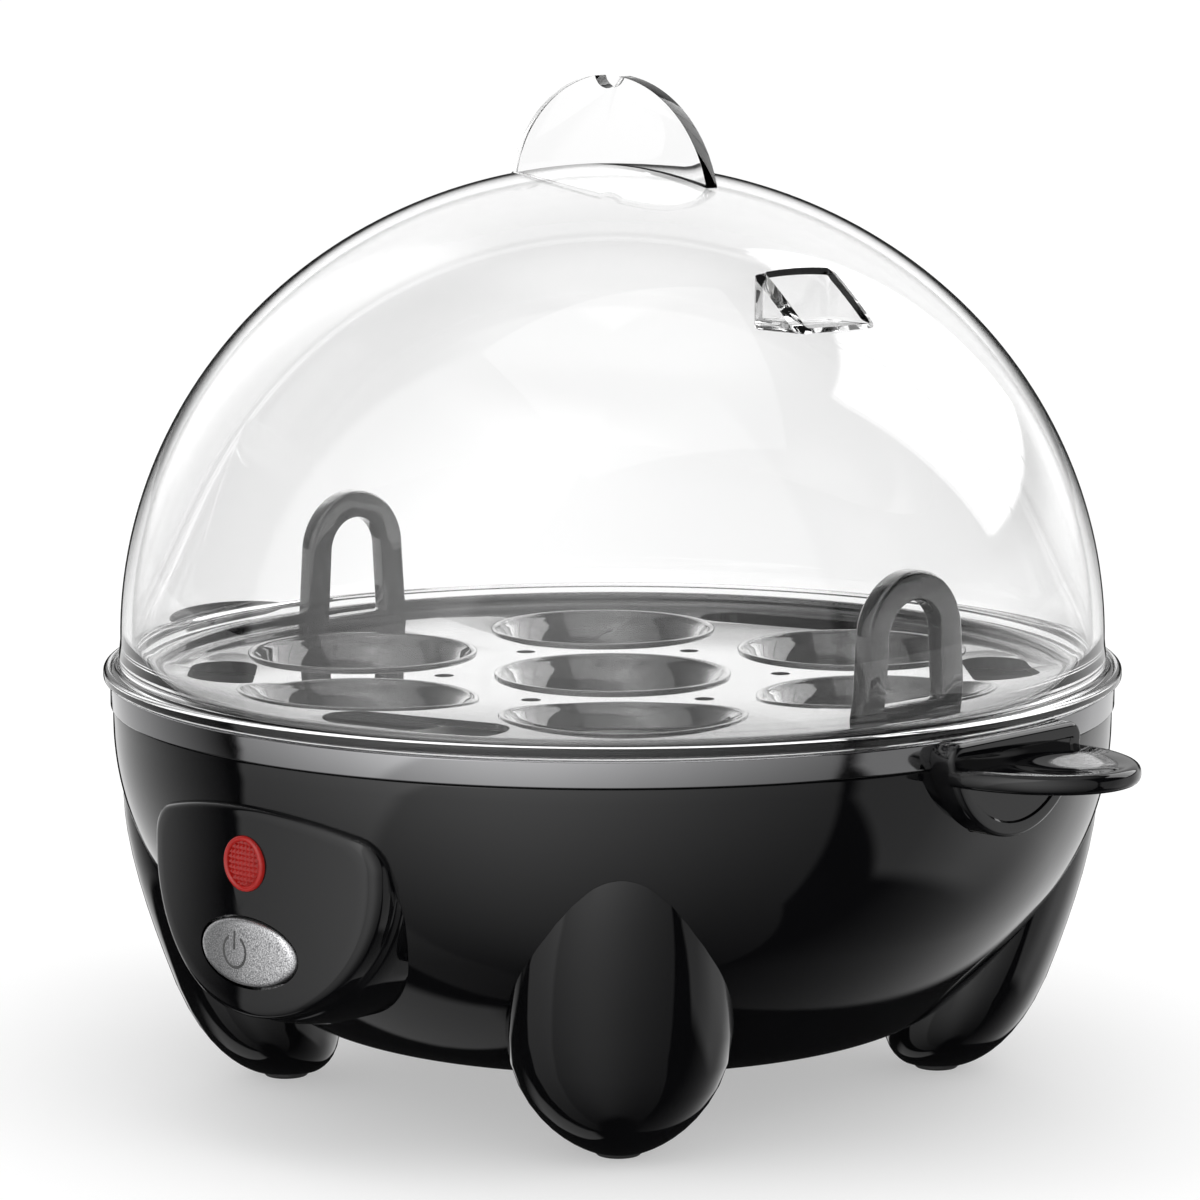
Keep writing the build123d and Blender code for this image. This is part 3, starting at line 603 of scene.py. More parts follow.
lens = {
    "z": 46.9, "radius": 4.3, "inner": 3.45, "proud": 0.6, "crown": 28.0, "cells": 9,
    "rimRound": 0.42, "rimBack": -3.0, "rimFoot": -0.7, "pyramid": 0.42, "margin": 0.2, "thick": 2.0,
    "kept": (-1.5, 2.0), "sunk": 0.5, "fit": 0.05, "holeRun": (70.0, 90.0),
}
button = {
    "z": 33.1, "halfLength": 10.5, "halfHeight": 5.3, "proud": 0.7, "crown": 61.7, "gap": 0.35,
    "skin": (                       # share of the size and height of each ring
        (1, -6), (1, -1.2), (0.994, -0.8), (0.978, -0.46), (0.95, -0.2), (0.91, -0.05), (0.86, 0),
        (0.7, 0), (0.5, 0), (0.3, 0), (0.12, 0),
    ),
    "holeRun": (-12, 8), "flange": 1.5, "flangeRun": (-5.3, -4.1), "stem": 2.4, "stemRun": (-5.0, -23.2),
    "symbolX": -1.8, "symbolRadius": 2.5, "line": 0.46, "opening": 62, "bar": 0.3, "barOver": 0.7,
    "engraved": 0.3, "filled": 0.13, "sunk": 0.2,
}


# Bends what is higher than the given height back from the middle, like a ball of the radius
def crowned(bm, radius, above=-100):
    for vert in bm.verts:
        if vert.co.z > above:
            vert.co.z -= (vert.co.x ** 2 + vert.co.y ** 2) / (2 * radius)


def makePod():
    shell = podShape(pod["skin"], pod["steps"])
    shell = combined(shell, podShape(pod["hollow"], pod["cutSteps"]), "DIFFERENCE")
    shell = combined(shell, solidBowl(), "DIFFERENCE")
    near, far = lens["holeRun"]
    lensHole = rod(lens["radius"] + lens["fit"], (0, -near, lens["z"]), (0, -far, lens["z"]), 96)
    wide, high = button["halfLength"] + button["gap"], button["halfHeight"] + button["gap"]
    buttonHole = grown(128, [place(0, 0, h, wide, high) for h in button["holeRun"]])
    facingFront(buttonHole, -pod["face"], button["z"])
    shell = combined(shell, joined(lensHole, buttonHole), "DIFFERENCE")
    posts, z = bmesh.new(), pod["postZ"]
    for x in (-pod["postX"], pod["postX"]):
        front = sqrt(pod["face"] ** 2 - x ** 2) - pod["postSunk"]
        posts = joined(posts, rod(pod["post"], (x, -front, z), (x, -pod["postEnd"], z), 32))
    shell = combined(shell, posts, "UNION")
    dressed("control_panel", shell, pianoBlack, sharp=40)


# A waffle of small pyramids inside a smooth rounded rim
def makeLens():
    radius, inner, edge = lens["radius"], lens["inner"], lens["rimRound"]
    rim = spun([
        (inner, lens["rimBack"]), (radius, lens["rimBack"]),
        *arc((radius - edge, -edge), edge, 0, 180, 8), (inner, lens["rimFoot"]),
    ], steps=96)
    waffle, cells = bmesh.new(), lens["cells"]
    bmesh.ops.create_grid(waffle, x_segments=cells, y_segments=cells, size=inner + lens["margin"])
    bmesh.ops.poke(waffle, faces=waffle.faces, offset=lens["pyramid"])
    base = bmesh.ops.extrude_face_region(waffle, geom=waffle.faces)["geom"]
    bmesh.ops.translate(waffle, vec=(0, 0, -lens["thick"]), verts=only(bmesh.types.BMVert, base))
    bmesh.ops.recalc_face_normals(waffle, faces=waffle.faces)
    low, high = lens["kept"]
    waffle = combined(waffle, rod(inner, (0, 0, low), (0, 0, high), 96), "INTERSECT")
    bmesh.ops.translate(waffle, vec=(0, 0, -lens["sunk"]), verts=waffle.verts)
    crowned(waffle, lens["crown"])
    front = pod["face"] + lens["proud"]
    dressed("indicator_lens", facingFront(joined(rim, waffle), -front, lens["z"]), redLens, sharp=25)


# The power sign: an open ring and a bar, from one height to another
def powerSign(low, high):
    inner = button["symbolRadius"] - button["line"] / 2
    outer = inner + button["line"]
    ring = bmesh.new()
    section = ((inner, low), (outer, low), (outer, high), (inner, high))
    ring.faces.new([ring.verts.new((0, r, z)) for r, z in section])
    turned(ring, -button["opening"] / 2)
    geometry = [*ring.verts, *ring.edges, *ring.faces]
    sweep = radians(button["opening"] - 360)
    bmesh.ops.spin(
        ring, geom=geometry, cent=(0, 0, 0), axis=(0, 0, 1), angle=sweep, steps=48, use_merge=False,
    )
    cleaned(ring)
    half = button["line"] / 2
    bar = block((-half, button["bar"], low), (half, button["symbolRadius"] + button["barOver"], high))
    return moved(joined(ring, bar), Matrix.Translation((button["symbolX"], 0, 0)))


def makeButton():
    length, height, over = button["halfLength"], button["halfHeight"], button["flange"]
    stemTop, stemEnd = button["stemRun"]
    cap = grown(160, [place(0, 0, h, length * s, height * s) for s, h in button["skin"]])
    crowned(cap, button["crown"], above=stemTop)
    cap = combined(cap, powerSign(-button["engraved"], past), "DIFFERENCE")
    flange = grown(96, [place(0, 0, h, length + over, height + over) for h in button["flangeRun"]])
    stem = rod(button["stem"], (0, 0, stemTop), (0, 0, stemEnd), 32)
    y = -pod["face"] - button["proud"]
    cap = facingFront(joined(cap, flange, stem), y, button["z"])
    dressed("power_button", cap, silverPaint, sharp=30)
    sign = powerSign(-button["engraved"] - button["sunk"], -button["filled"])
    addPiece("powerSign", facingFront(sign, y, button["z"]), symbolPaint, "power_button")


makePod()
makeLens()
makeButton()
print("control panel made")
makeBowl()
makeTrim()
print("bowl and trim ring made")


# Side handles: a half-round lug with a half-round grip

grip = {
    "lugRadius": 16.0, "lugTop": 66.6, "lugNear": 62.0, "lugFar": 84.3, "lugCorner": 2.5, "lugEdge": 0.9,
    "rimWidth": 1.3, "rimSlope": 0.3, "rimDepth": 0.35,
    "bowlCutTop": 64.4, "trimRadius": 81.45, "trimCutTop": 80.0,
    "reach": 20.1, "halfWidth": 15.6, "top": 63.1, "thick": 3.0, "edge": 1.3, "sunk": 1.0,
    "dishX": 9.6, "dishRadius": 10.2, "dishDepth": 0.9, "screwNear": 70.0, "screwStop": 1.0,
}
# stands a shape drawn flat up, so that it faces +X
sideways = Matrix(((0, 0, 1, 0), (1, 0, 0, 0), (0, 1, 0, 0), (0, 0, 0, 1)))


# The half-round lug on the bowl, with a raised rim round its flat front
def makeLug():
    radius, corner, edge = grip["lugRadius"], grip["lugCorner"], grip["lugEdge"]
    side = sqrt((radius - corner) ** 2 - corner ** 2)
    low = [(x, z) for x, z in arc((0, 0), radius, 180, 360, 64) if z < -corner]
    corners = [(side, -corner, corner), (-side, -corner, corner)]
    lug = wrapped(corners, low, 0, grip["lugFar"] - grip["lugNear"], steps=96)
    softened(lug, edge, 4, 60, lambda e: min(v.co.z for v in e.verts) > 1)
    front = max(lug.faces, key=lambda f: f.calc_center_median().z + f.calc_area() * 0.001)
    bmesh.ops.inset_region(lug, faces=[front], thickness=grip["rimWidth"], use_even_offset=True)
    bmesh.ops.inset_region(
        lug, faces=[front], thickness=grip["rimSlope"], depth=-grip["rimDepth"], use_even_offset=True,
    )
    moved(lug, Matrix.Translation((grip["lugNear"], 0, grip["lugTop"])) @ sideways)
    lug = combined(lug, solidBowl(top=grip["bowlCutTop"]), "DIFFERENCE")
    trimCut = rod(grip["trimRadius"], (0, 0, bowl["top"]), (0, 0, grip["trimCutTop"]), 256)
    return combined(lug, trimCut, "DIFFERENCE")


# The half-round fin, with a shallow dish for the thumb in its top
def makeFin():
    far, half, thick, edge = grip["reach"], grip["halfWidth"], grip["thick"], grip["edge"]
    top = grip["top"]
    rounds = [radians(90 * i / 6) for i in range(7)]
    rings = [(edge * (1 - sin(t)), top - thick + edge * (1 - cos(t))) for t in rounds]
    rings += [(edge * (1 - cos(t)), top - edge * (1 - sin(t))) for t in rounds]
    places = [place(0, 0, z, far - inset, half - inset) for inset, z in rings]
    places += [place(0, 0, top, (far - edge) * i / 24, (half - edge) * i / 24) for i in range(23, 0, -1)]
    fin = grown(192, places)
    for vert in fin.verts:
        away = ((vert.co.x - grip["dishX"]) ** 2 + vert.co.y ** 2) / grip["dishRadius"] ** 2
        if vert.co.z > top - 0.01 and away < 1:
            vert.co.z -= grip["dishDepth"] * (1 - away) ** 2
    cut = bmesh.ops.bisect_plane(
        fin, geom=[*fin.verts, *fin.edges, *fin.faces], plane_co=(-grip["sunk"], 0, 0), plane_no=(-1, 0, 0),
        clear_outer=True,
    )["geom_cut"]
    bmesh.ops.edgeloop_fill(fin, edges=only(bmesh.types.BMEdge, cut))
    bmesh.ops.recalc_face_normals(fin, faces=fin.faces)
    return moved(fin, Matrix.Translation((grip["lugFar"], 0, 0)))


def makeGrip():
    handle = combined(makeLug(), makeFin(), "UNION")
    screws, z = bmesh.new(), bowl["gripScrewZ"]
    near, far = grip["screwNear"], grip["lugFar"] - grip["screwStop"]
    for y in (-bowl["gripScrewY"], bowl["gripScrewY"]):
        screws = joined(screws, rod(bowl["screw"], (near, y, z), (far, y, z), 24))
    return combined(handle, screws, "DIFFERENCE")


for node, angle in (("handle_right", 0), ("handle_left", 180)):
    dressed(node, turned(makeGrip(), angle), pianoBlack, sharp=38)
print("side handles made")


# Seat tray with its loop handles, and the heating plate under it

tray = {
    "radius": 76.5, "wall": 2.0, "low": 64.0, "top": 66.0, "foot": 60.7, "rim": 68.4,
    "rimRound": 0.9, "rootRound": 1.0, "ring": 47.5, "seats": 6, "firstSeat": 45.0,
    "hole": 13.4, "holeEdge": 0.3, "mouth": 18.0, "mouthStart": (0.5, 0.6), "mouthOut": 0.9,
    "mouthRound": 0.8, "cupWall": 1.6, "cupLow": 57.5, "bead": 0.5, "beadRound": 0.3, "cutOver": 3.0,
    "slotRing": 64.5, "slotHalf": 5.5, "slotTurn": 9.0, "slots": (15, 135, 195, 315),
    "drainRing": 27.4, "drain": 1.6,
}
loop = {
    "angle": 86.0, "inner": 64.3, "thick": 3.4, "base": 65.4, "top": 90.2, "radius": 10.2, "foot": 11.2,
    "gap": 5.6, "gapFoot": 6.3, "gapLow": 68.8, "gapPast": 2.0, "edge": 0.7,
}


def around(radius, angle):
    return radius * sin(radians(angle)), -radius * cos(radians(angle))


# A seat's cup and the hole through it, with a soft bead round its mouth
def makeSeat():
    hole, mouth, cup, low = tray["hole"], tray["mouth"], tray["cupWall"], tray["cupLow"]
    top, bead, edge, turn = tray["top"], tray["top"] + tray["bead"], tray["beadRound"], tray["mouthRound"]
    inwards, down = tray["mouthStart"]
    over, out = top + tray["cutOver"], mouth + tray["mouthOut"]
    outside = spun([
        (0, low), (hole + cup, low), (mouth + cup - edge, top),
        *arc((mouth + cup - 2 * edge, bead - edge), edge, 0, 90, 3), (0, bead),
    ], steps=96)
    inside = spun([
        (0, low - past), (hole, low - past), (hole, low + tray["holeEdge"]), (mouth - inwards, top - down),
        *arc((out, bead - turn), turn, 170, 92, 5), (out, over), (0, over),
    ], steps=96)
    return outside, inside


def makeTray():
    outer, rim, top = tray["radius"], tray["rim"], tray["top"]
    inner, edge, root = outer - tray["wall"], tray["rimRound"], tray["rootRound"]
    plate = spun([
        (0, tray["low"]), (inner, tray["low"]), (inner, tray["foot"]), (outer, tray["foot"]),
        *arc((outer - edge, rim - edge), edge, 0, 90, 5), *arc((inner + edge, rim - edge), edge, 90, 180, 5),
        *arc((inner - root, top + root), root, 0, -90, 5), (0, top),
    ])
    step, low, over = 360 / tray["seats"], tray["cupLow"], top + tray["cutOver"]
    seats = [(0.0, 0.0)]
    seats += [around(tray["ring"], tray["firstSeat"] + step * i) for i in range(tray["seats"])]
    cups, cutters = bmesh.new(), bmesh.new()
    for x, y in seats:
        spot = Matrix.Translation((x, y, 0))
        outside, inside = makeSeat()
        cups = joined(cups, moved(outside, spot))
        cutters = joined(cutters, moved(inside, spot))
    for angle in tray["slots"]:
        turns = (angle - tray["slotTurn"], angle + tray["slotTurn"])
        ends = [(*around(tray["slotRing"], turn), tray["slotHalf"]) for turn in turns]
        cutters = joined(cutters, wrapped(ends, [], low, over, steps=48))
    for i in range(tray["seats"]):
        x, y = around(tray["drainRing"], tray["firstSeat"] + step / 2 + step * i)
        cutters = joined(cutters, rod(tray["drain"], (x, y, low), (x, y, over), 24))
    plate = combined(plate, cups, "UNION")
    plate = combined(plate, cutters, "DIFFERENCE")
    dressed("seat_tray", plate, smokyPlastic, sharp=38)


def makeLoop():
    centre, thick = loop["top"] - loop["radius"], loop["thick"]
    foot, low = loop["base"] - centre, loop["gapLow"] - centre
    corners = [(-loop["foot"], foot), (loop["foot"], foot)]
    body = wrapped([(0, 0, loop["radius"])], corners, 0, thick, steps=96)
    corners = [(-loop["gapFoot"], low), (loop["gapFoot"], low)]
    gap = wrapped([(0, 0, loop["gap"])], corners, -loop["gapPast"], thick + loop["gapPast"], steps=96)
    body = combined(body, gap, "DIFFERENCE")
    softened(body, loop["edge"], 4, 50)
    return moved(body, Matrix.Translation((loop["inner"], 0, centre)) @ sideways)


def makeWaterDish():
    dish = {
        "floor": 45.0, "thick": 1.2, "rimZ": 59.2, "rim": 77.8, "wallTop": 71.0, "wallLow": 58.6,
        "lowRound": 3.0, "lowIn": 2.2, "topRound": 1.8, "topOut": 1.6, "lean": 0.7,
        "stud": 2.0, "studX": 48.0, "studDrop": 15.0,
    }
    floor, thick, rimZ = dish["floor"], dish["thick"], dish["rimZ"]
    low, top = dish["lowRound"], dish["topRound"]
    lowTurn = arc((dish["wallLow"] - dish["lowIn"], floor + low), low, -90, -41, 6)
    topTurn = arc((dish["wallTop"] + dish["topOut"], rimZ + thick - top), top, 139, 90, 6)
    plate = spun([
        (0, floor), *lowTurn, (dish["wallTop"], rimZ), (dish["rim"], rimZ), (dish["rim"], rimZ + thick),
        *reversed(topTurn), *[(r - dish["lean"], z + thick) for r, z in reversed(lowTurn)],
        (0, floor + thick),
    ])
    for x in (-dish["studX"], dish["studX"]):
        stud = rod(dish["stud"], (x, 0, floor + thick / 2), (x, 0, floor - dish["studDrop"]), 32)
        plate = joined(plate, stud)
    dressed("heating_plate", plate, spunMetal)


makeTray()
for node, angle in (("tray_handle_right", 0), ("tray_handle_left", 180)):
    dressed(node, turned(makeLoop(), loop["angle"] - 90 + angle), smokyPlastic, sharp=40)
makeWaterDish()
print("tray and heating plate made")


# Clear lid

lid = {
    "dome": 79.7, "domeRise": 76.0, "domeFoot": 73.0, "wall": 1.8, "coreLow": 60.0,
    "flange": 82.5, "flangeLow": 66.9, "flangeT": 1.4, "fillet": 0.95, "filletMiddle": 81.05,
    "lowRound": 0.55, "topRound": 0.75, "topDrop": 0.25, "neck": (77.5, 1.5), "neckDrop": 0.4,
    "skirtOuter": 78.4, "skirtInner": 77.0, "skirtLow": 64.6, "skirtRound": 0.5,
    "tabRadius": 22.0, "tabHalf": 1.3, "tabTop": 163.3, "tabFoot": 141.4, "tabBox": (30, 5, 170),
    "tabRound": 0.45, "tabSunk": 0.6, "notch": 2.75, "notchDepth": 2.1, "notchCut": 3.0,
    "ventAngle": 81.5, "ventBack": 45.5, "ventHalf": 6.5, "ventFloor": 127.2, "ventWall": 1.5,
    "ventHeight": 11.0, "ventFar": 95.0, "ventCutTop": 180.0, "ventInset": 0.4, "ventRound": 1.0,
    "hollowRound": 0.5, "slotLength": 5.0, "slotWidth": 1.6, "slotOut": 5.0, "slotRun": (-4.0, 3.0),
    "slotRound": 0.6,
}


# Profile of the dome, moved inwards by inset, from its foot to the axis
def domeCurve(inset, steps=60):
    turns = [pi / 2 * i / steps for i in range(steps + 1)]
    wide, rise = lid["dome"] - inset, lid["domeRise"] - inset
    points = [(wide * cos(t), lid["domeFoot"] + rise * sin(t)) for t in turns]
    points[-1] = (0, points[-1][1])
    return points


def solidDome(inset):
    return spun([*domeCurve(inset), (0, lid["coreLow"]), (lid["dome"] - inset, lid["coreLow"])])


def makeDome():
    low, top, edge = lid["flangeLow"], lid["flangeLow"] + lid["flangeT"], lid["flange"]
    foot, turn, under, over = lid["skirtLow"], lid["skirtRound"], lid["lowRound"], lid["topRound"]
    outer, inner, fillet = lid["skirtOuter"], lid["skirtInner"], lid["fillet"]
    neck, neckRise = lid["neck"]
    return spun([
        *arc((outer - turn, foot + turn), turn, -90, 0, 4), (outer, low),
        *arc((edge - under, low + under), under, -90, 0, 5),
        *arc((edge - over, top - lid["topDrop"]), over, 0, 150, 8),
        *arc((lid["filletMiddle"], top + fillet), fillet, -90, -172, 6), *domeCurve(0),
        *reversed(domeCurve(lid["wall"])), (neck, low + neckRise), (inner, low - lid["neckDrop"]),
        *arc((inner + turn, foot + turn), turn, 180, 270, 4),
    ], steps=256)


# The thin half-round tab on the dome's top, with a notch in its crest
def makeTab():
    radius, half, notch, cut = lid["tabRadius"], lid["tabHalf"], lid["notch"], lid["notchCut"]
    centre = lid["tabTop"] - radius
    wide, deep, high = lid["tabBox"]
    tab = rod(radius, (0, -half, centre), (0, half, centre), 256)
    tab = combined(tab, block((-wide, -deep, lid["tabFoot"]), (wide, deep, high)), "INTERSECT")
    notchZ = lid["tabTop"] - lid["notchDepth"] + notch
    tab = combined(tab, rod(notch, (0, -cut, notchZ), (0, cut, notchZ), 64), "DIFFERENCE")
    softened(tab, lid["tabRound"], 4, 50)
    return combined(tab, solidDome(lid["wall"] * lid["tabSunk"]), "DIFFERENCE")


# The pocket high on the dome, and what is cut out of it: its hollow and the slot in its floor
def makeVent():
    wide, back, floor, wall = lid["ventHalf"], lid["ventBack"], lid["ventFloor"], lid["ventWall"]
    outer, far = wide + wall, lid["ventFar"]
    pocket = block((-outer, -far, floor - wall), (outer, -back + wall, floor + lid["ventHeight"]))
    softened(pocket, lid["ventRound"], 4)
    pocket = combined(turned(pocket, lid["ventAngle"]), solidDome(lid["ventInset"]), "INTERSECT")
    hollow = block((-wide, -far, floor), (wide, -back, lid["ventCutTop"]))
    softened(hollow, lid["hollowRound"], 3)
    long, half, y = lid["slotLength"] / 2, lid["slotWidth"] / 2, -back - lid["slotOut"]
    low, high = lid["slotRun"]
    slot = block((-long, y - half, floor + low), (long, y + half, floor + high))
    softened(slot, lid["slotRound"], 4, 40, lambda e: abs(e.verts[0].co.z - e.verts[1].co.z) > high)
    return pocket, turned(hollow, lid["ventAngle"]), turned(slot, lid["ventAngle"])


def makeLid():
    shell = combined(makeDome(), makeTab(), "UNION")
    pocket, hollow, slot = makeVent()
    shell = combined(shell, pocket, "UNION")
    shell = combined(shell, hollow, "DIFFERENCE")
    shell = combined(shell, slot, "DIFFERENCE")
    dressed("lid", shell, clearLid, sharp=32)


makeLid()
print("lid made")


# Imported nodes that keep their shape, merged and smoothed between their sharp edges

finishes = {
    "zinc_steel": zincSteel,
    "pad_rubber": softRubber,
    "seal_silicone": greySilicone,
    "inner_plastic": heatPlastic,
    "black_plastic": grainedBlack,
}


def smoothedCopy(node):
    bm = bmesh.new()
    bm.from_mesh(frame["nodes"][node].data)
    bmesh.ops.scale(bm, vec=(1 / mm, 1 / mm, 1 / mm), verts=bm.verts)
    return dressed(node, cleaned(bm), finishes[slotOf[node]], sharp=30)


spring = smoothedCopy("button_spring")
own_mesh(spring)
for node in slotOf:
    if node not in modelled:
        smoothedCopy(node)
print("packed nodes dressed")


# Studio: a pale floor, a white backdrop, and soft boxes that gloss and metal reflect

cameraTurn = 43.0


def calc(tree, operation, first, second=None):
    node = tree.nodes.new("ShaderNodeMath")
    node.operation = operation
    for socket, value in zip(node.inputs, (first, second)):
        if isinstance(value, (int, float)):
            socket.default_value = value
        elif value is not None:
            tree.links.new(value, socket)
    return node.outputs[0]


def makeFloor():
    settings = {"radius": 7.0, "steps": 96, "colour": (0.60, 0.60, 0.60), "rough": 0.9, "lift": 0.42}
    bm = bmesh.new()
    bmesh.ops.create_circle(bm, cap_ends=True, segments=settings["steps"], radius=settings["radius"])
    mesh = bpy.data.meshes.new("floor")
    bm.to_mesh(mesh)
    bm.free()
    floor = bpy.data.objects.new("floor", mesh)
    scene.collection.objects.link(floor)
    material, tree, shader = newMaterial("paleFloor")
    shader.inputs["Base Color"].default_value = (*settings["colour"], 1)
    shader.inputs["Roughness"].default_value = settings["rough"]
    shader.inputs["Specular IOR Level"].default_value = 0.0
    shader.inputs["Emission Color"].default_value = (1, 1, 1, 1)
    shader.inputs["Emission Strength"].default_value = settings["lift"]
    path = tree.nodes.new("ShaderNodeLightPath")
    unseen = tree.nodes.new("ShaderNodeBsdfTransparent")
    mix = tree.nodes.new("ShaderNodeMixShader")
    mirrored = calc(tree, "SUBTRACT", path.outputs["Is Glossy Ray"], path.outputs["Is Transmission Ray"])
    tree.links.new(calc(tree, "MAXIMUM", mirrored, 0.0), mix.inputs[0])
    tree.links.new(shader.outputs["BSDF"], mix.inputs[1])
    tree.links.new(unseen.outputs["BSDF"], mix.inputs[2])
    tree.links.new(mix.outputs["Shader"], tree.nodes["Material Output"].inputs["Surface"])
    mesh.materials.append(material)


# Rises softly from 0 to 1 round an edge
def edgeAt(tree, value, middle, soft):
    return mapped(tree, value, middle - soft, middle + soft, smooth=True)


# The sky by direction: side is 0 towards the camera and 90 at its right, tilt is the height, in degrees.
# Each edge of a soft box is where it lies and how soft it is, and an upright one may lean from a height down
def makeWorld():
    boxes = {
        "front": {
            "left": (-92, 1.5, -12, -0.35), "right": (52, 1.5, -50, 1.0),
            "low": (-79, 3), "high": (64, 8), "level": 2.3,
        },
        "backLeft": {"left": (-165, 1), "right": (-96, 1), "low": (-21, 1), "high": (50, 12), "level": 1.1},
        "right": {
            "left": (56, 2.5, -12, 0.6), "right": (110, 14), "low": (-38, 3), "high": (10, 4), "level": 0.46,
        },
        "backRight": {
            "left": (74, 3), "right": (166, 1, -18, -0.8), "low": (-78, 3), "high": (8, 4), "level": 0.95,
        },
        "lowLeft": {"left": (-148, 1), "right": (-122, 3), "low": (-74, 3), "high": (-38, 6), "level": 0.35},
        "window": {
            "left": (91.5, 0.5, 47.5, 0.4), "right": (155, 0.8, 50.5, -0.28),
            "low": (13.5, 0.6), "high": (50.5, 0.8), "level": 3.0,
        },
    }
    settings = {
        "diffuse": 1.0, "dark": 0.012, "over": (62, 12), "overLevel": 0.6,
        "hump": -22, "humpHalf": 46, "fall": (-92, 0), "fallPower": 1.3,
        "upper": (12, 3, 90, -0.6), "upperLoss": 0.35,
        "backLeftRun": (-96, -165), "backRightRun": (78, 140), "lowFade": (24.0, 22.0),
        "bars": (116, 132), "bar": (0.55, 0.15), "barLoss": 0.75,
        "limb": (154, 6), "limbLow": (-5, 4),
        "behind": (142, 12), "behindLow": (7, 3), "behindHigh": (46, 12), "behindLevel": 0.6,
        "inner": (0, 4), "innerLevel": 0.9,
    }
    world = bpy.data.worlds.new("studio")
    scene.world = world
    world.use_nodes = True
    tree = world.node_tree
    direction = tree.nodes.new("ShaderNodeTexCoord")
    turn = tree.nodes.new("ShaderNodeVectorRotate")
    turn.rotation_type = "Z_AXIS"
    turn.inputs["Angle"].default_value = -radians(cameraTurn)
    tree.links.new(direction.outputs["Generated"], turn.inputs["Vector"])
    split = tree.nodes.new("ShaderNodeSeparateXYZ")
    tree.links.new(turn.outputs["Vector"], split.inputs["Vector"])

    def plus(*values):
        total = values[0]
        for value in values[1:]:
            total = calc(tree, "ADD", total, value)
        return total

    def less(first, second):
        return calc(tree, "SUBTRACT", first, second)

    def times(*values):
        product = values[0]
        for value in values[1:]:
            product = calc(tree, "MULTIPLY", product, value)
        return product

    def above(value, edge):
        return edgeAt(tree, value, *edge)

    def below(value, edge):
        return less(1.0, above(value, edge))

    towards = times(split.outputs["Y"], -1.0)
    side = times(calc(tree, "ARCTAN2", split.outputs["X"], towards), 180 / pi)
    tilt = times(calc(tree, "ARCSINE", split.outputs["Z"]), 180 / pi)
    aside = calc(tree, "ABSOLUTE", side)

    # the side as a leaning edge sees it: pushed left by the slope for each degree below the start
    def leaning(edge):
        if len(edge) == 2:
            return side
        start, slope = edge[2:]
        return less(side, times(calc(tree, "MAXIMUM", less(start, tilt), 0.0), slope))

    def lit(name):
        box = boxes[name]
        left, right = box["left"], box["right"]
        across = times(above(leaning(left), left[:2]), below(leaning(right), right[:2]))
        return times(across, above(tilt, box["low"]), below(tilt, box["high"]), box["level"])

    hump = calc(tree, "DIVIDE", less(side, settings["hump"]), settings["humpHalf"])
    hump = calc(tree, "DIVIDE", 1.0, plus(times(hump, hump), 1.0))
    fall = calc(tree, "POWER", mapped(tree, tilt, *settings["fall"]), settings["fallPower"])
    upper = times(above(leaning(settings["upper"]), settings["upper"][:2]), settings["upperLoss"])
    front = times(lit("front"), hump, fall, less(1.0, upper))
    backLeft = times(lit("backLeft"), mapped(tree, side, *settings["backLeftRun"]))
    shift, scale = settings["lowFade"]
    fade = calc(tree, "MINIMUM", calc(tree, "EXPONENT", calc(tree, "DIVIDE", plus(tilt, shift), scale)), 1.0)
    backRight = times(lit("backRight"), mapped(tree, side, *settings["backRightRun"]), fade)
    window = lit("window")
    for bar in settings["bars"]:
        away = calc(tree, "ABSOLUTE", less(side, bar))
        bright = times(above(away, settings["bar"]), settings["barLoss"])
        window = times(window, plus(bright, 1 - settings["barLoss"]))
    limb = times(above(aside, settings["limb"]), above(tilt, settings["limbLow"]))
    sides = times(plus(backLeft, backRight), less(1.0, limb))
    behind = above(aside, settings["behind"])
    backdrop = times(behind, above(tilt, settings["behindLow"]), below(tilt, settings["behindHigh"]))
    backdrop = times(backdrop, settings["behindLevel"])
    over = times(above(tilt, settings["over"]), settings["overLevel"])
    total = plus(over, settings["dark"], front, sides, lit("right"), lit("lowLeft"), window, backdrop)

    # seen straight on or through the dome it is white, mirrored it is the soft boxes
    path = tree.nodes.new("ShaderNodeLightPath")
    through = path.outputs["Is Transmission Ray"]
    inner = times(through, calc(tree, "MINIMUM", path.outputs["Glossy Depth"], 1.0))
    total = plus(total, times(inner, behind, above(tilt, settings["inner"]), settings["innerLevel"]))
    seen = calc(tree, "MAXIMUM", path.outputs["Is Camera Ray"], less(through, inner))
    glossy = calc(tree, "MAXIMUM", times(path.outputs["Is Glossy Ray"], less(1.0, seen)), inner)
    plain = less(1.0, plus(seen, glossy))
    strength = plus(seen, times(glossy, total), times(plain, settings["diffuse"]))
    background = tree.nodes["Background"]
    background.inputs["Color"].default_value = (1, 1, 1, 1)
    tree.links.new(strength, background.inputs["Strength"])


# A wide soft lamp overhead, for the shadow on the floor
def makeLamp():
    settings = {"size": 0.9, "place": (0.25, -0.1, 1.1), "target": (0, 0, 0.06), "power": 2.4}
    data = bpy.data.lights.new("overhead", "AREA")
    data.shape = "RECTANGLE"
    data.size = data.size_y = settings["size"]
    data.energy = settings["power"]
    lamp = bpy.data.objects.new("overhead", data)
    scene.collection.objects.link(lamp)
    lamp.location = settings["place"]
    run = Vector(settings["target"]) - Vector(settings["place"])
    lamp.rotation_euler = run.to_track_quat("-Z", "Y").to_euler()
    lamp.visible_glossy = False


makeFloor()
makeWorld()
makeLamp()
print("studio lit")


# Camera where the photograph was taken from

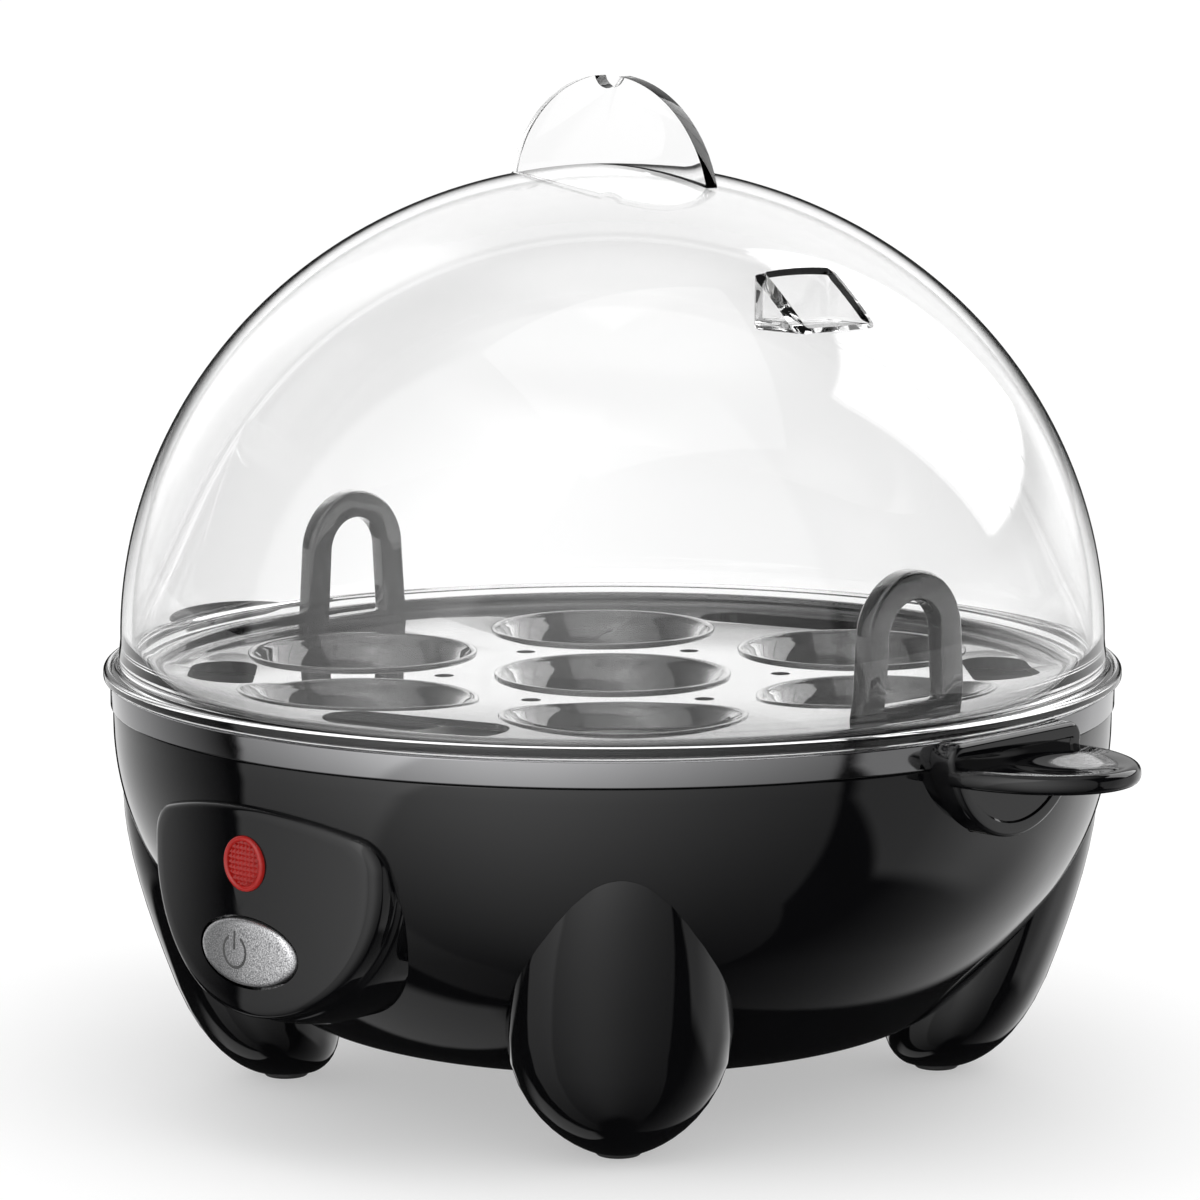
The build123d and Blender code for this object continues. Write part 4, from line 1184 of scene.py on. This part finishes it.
def makeCamera():
    settings = {
        "distance": 825 * mm,
        "height": 203.5 * mm,
        "pitch": 8.63,
        "lens": 154.1,
        "sensor": 36.0,
        "shiftX": -0.0104,
    }
    data = bpy.data.cameras.new("camera")
    data.lens = settings["lens"]
    data.sensor_width = settings["sensor"]
    data.shift_x = settings["shiftX"]
    camera = bpy.data.objects.new("camera", data)
    scene.collection.objects.link(camera)
    turn = radians(cameraTurn)
    away = Vector((sin(turn), -cos(turn), 0))
    camera.location = away * settings["distance"] + Vector((0, 0, settings["height"]))
    camera.rotation_euler = (radians(90 - settings["pitch"]), 0, turn)
    scene.camera = camera


makeCamera()
print("camera set")

scene.view_settings.view_transform = "Standard"
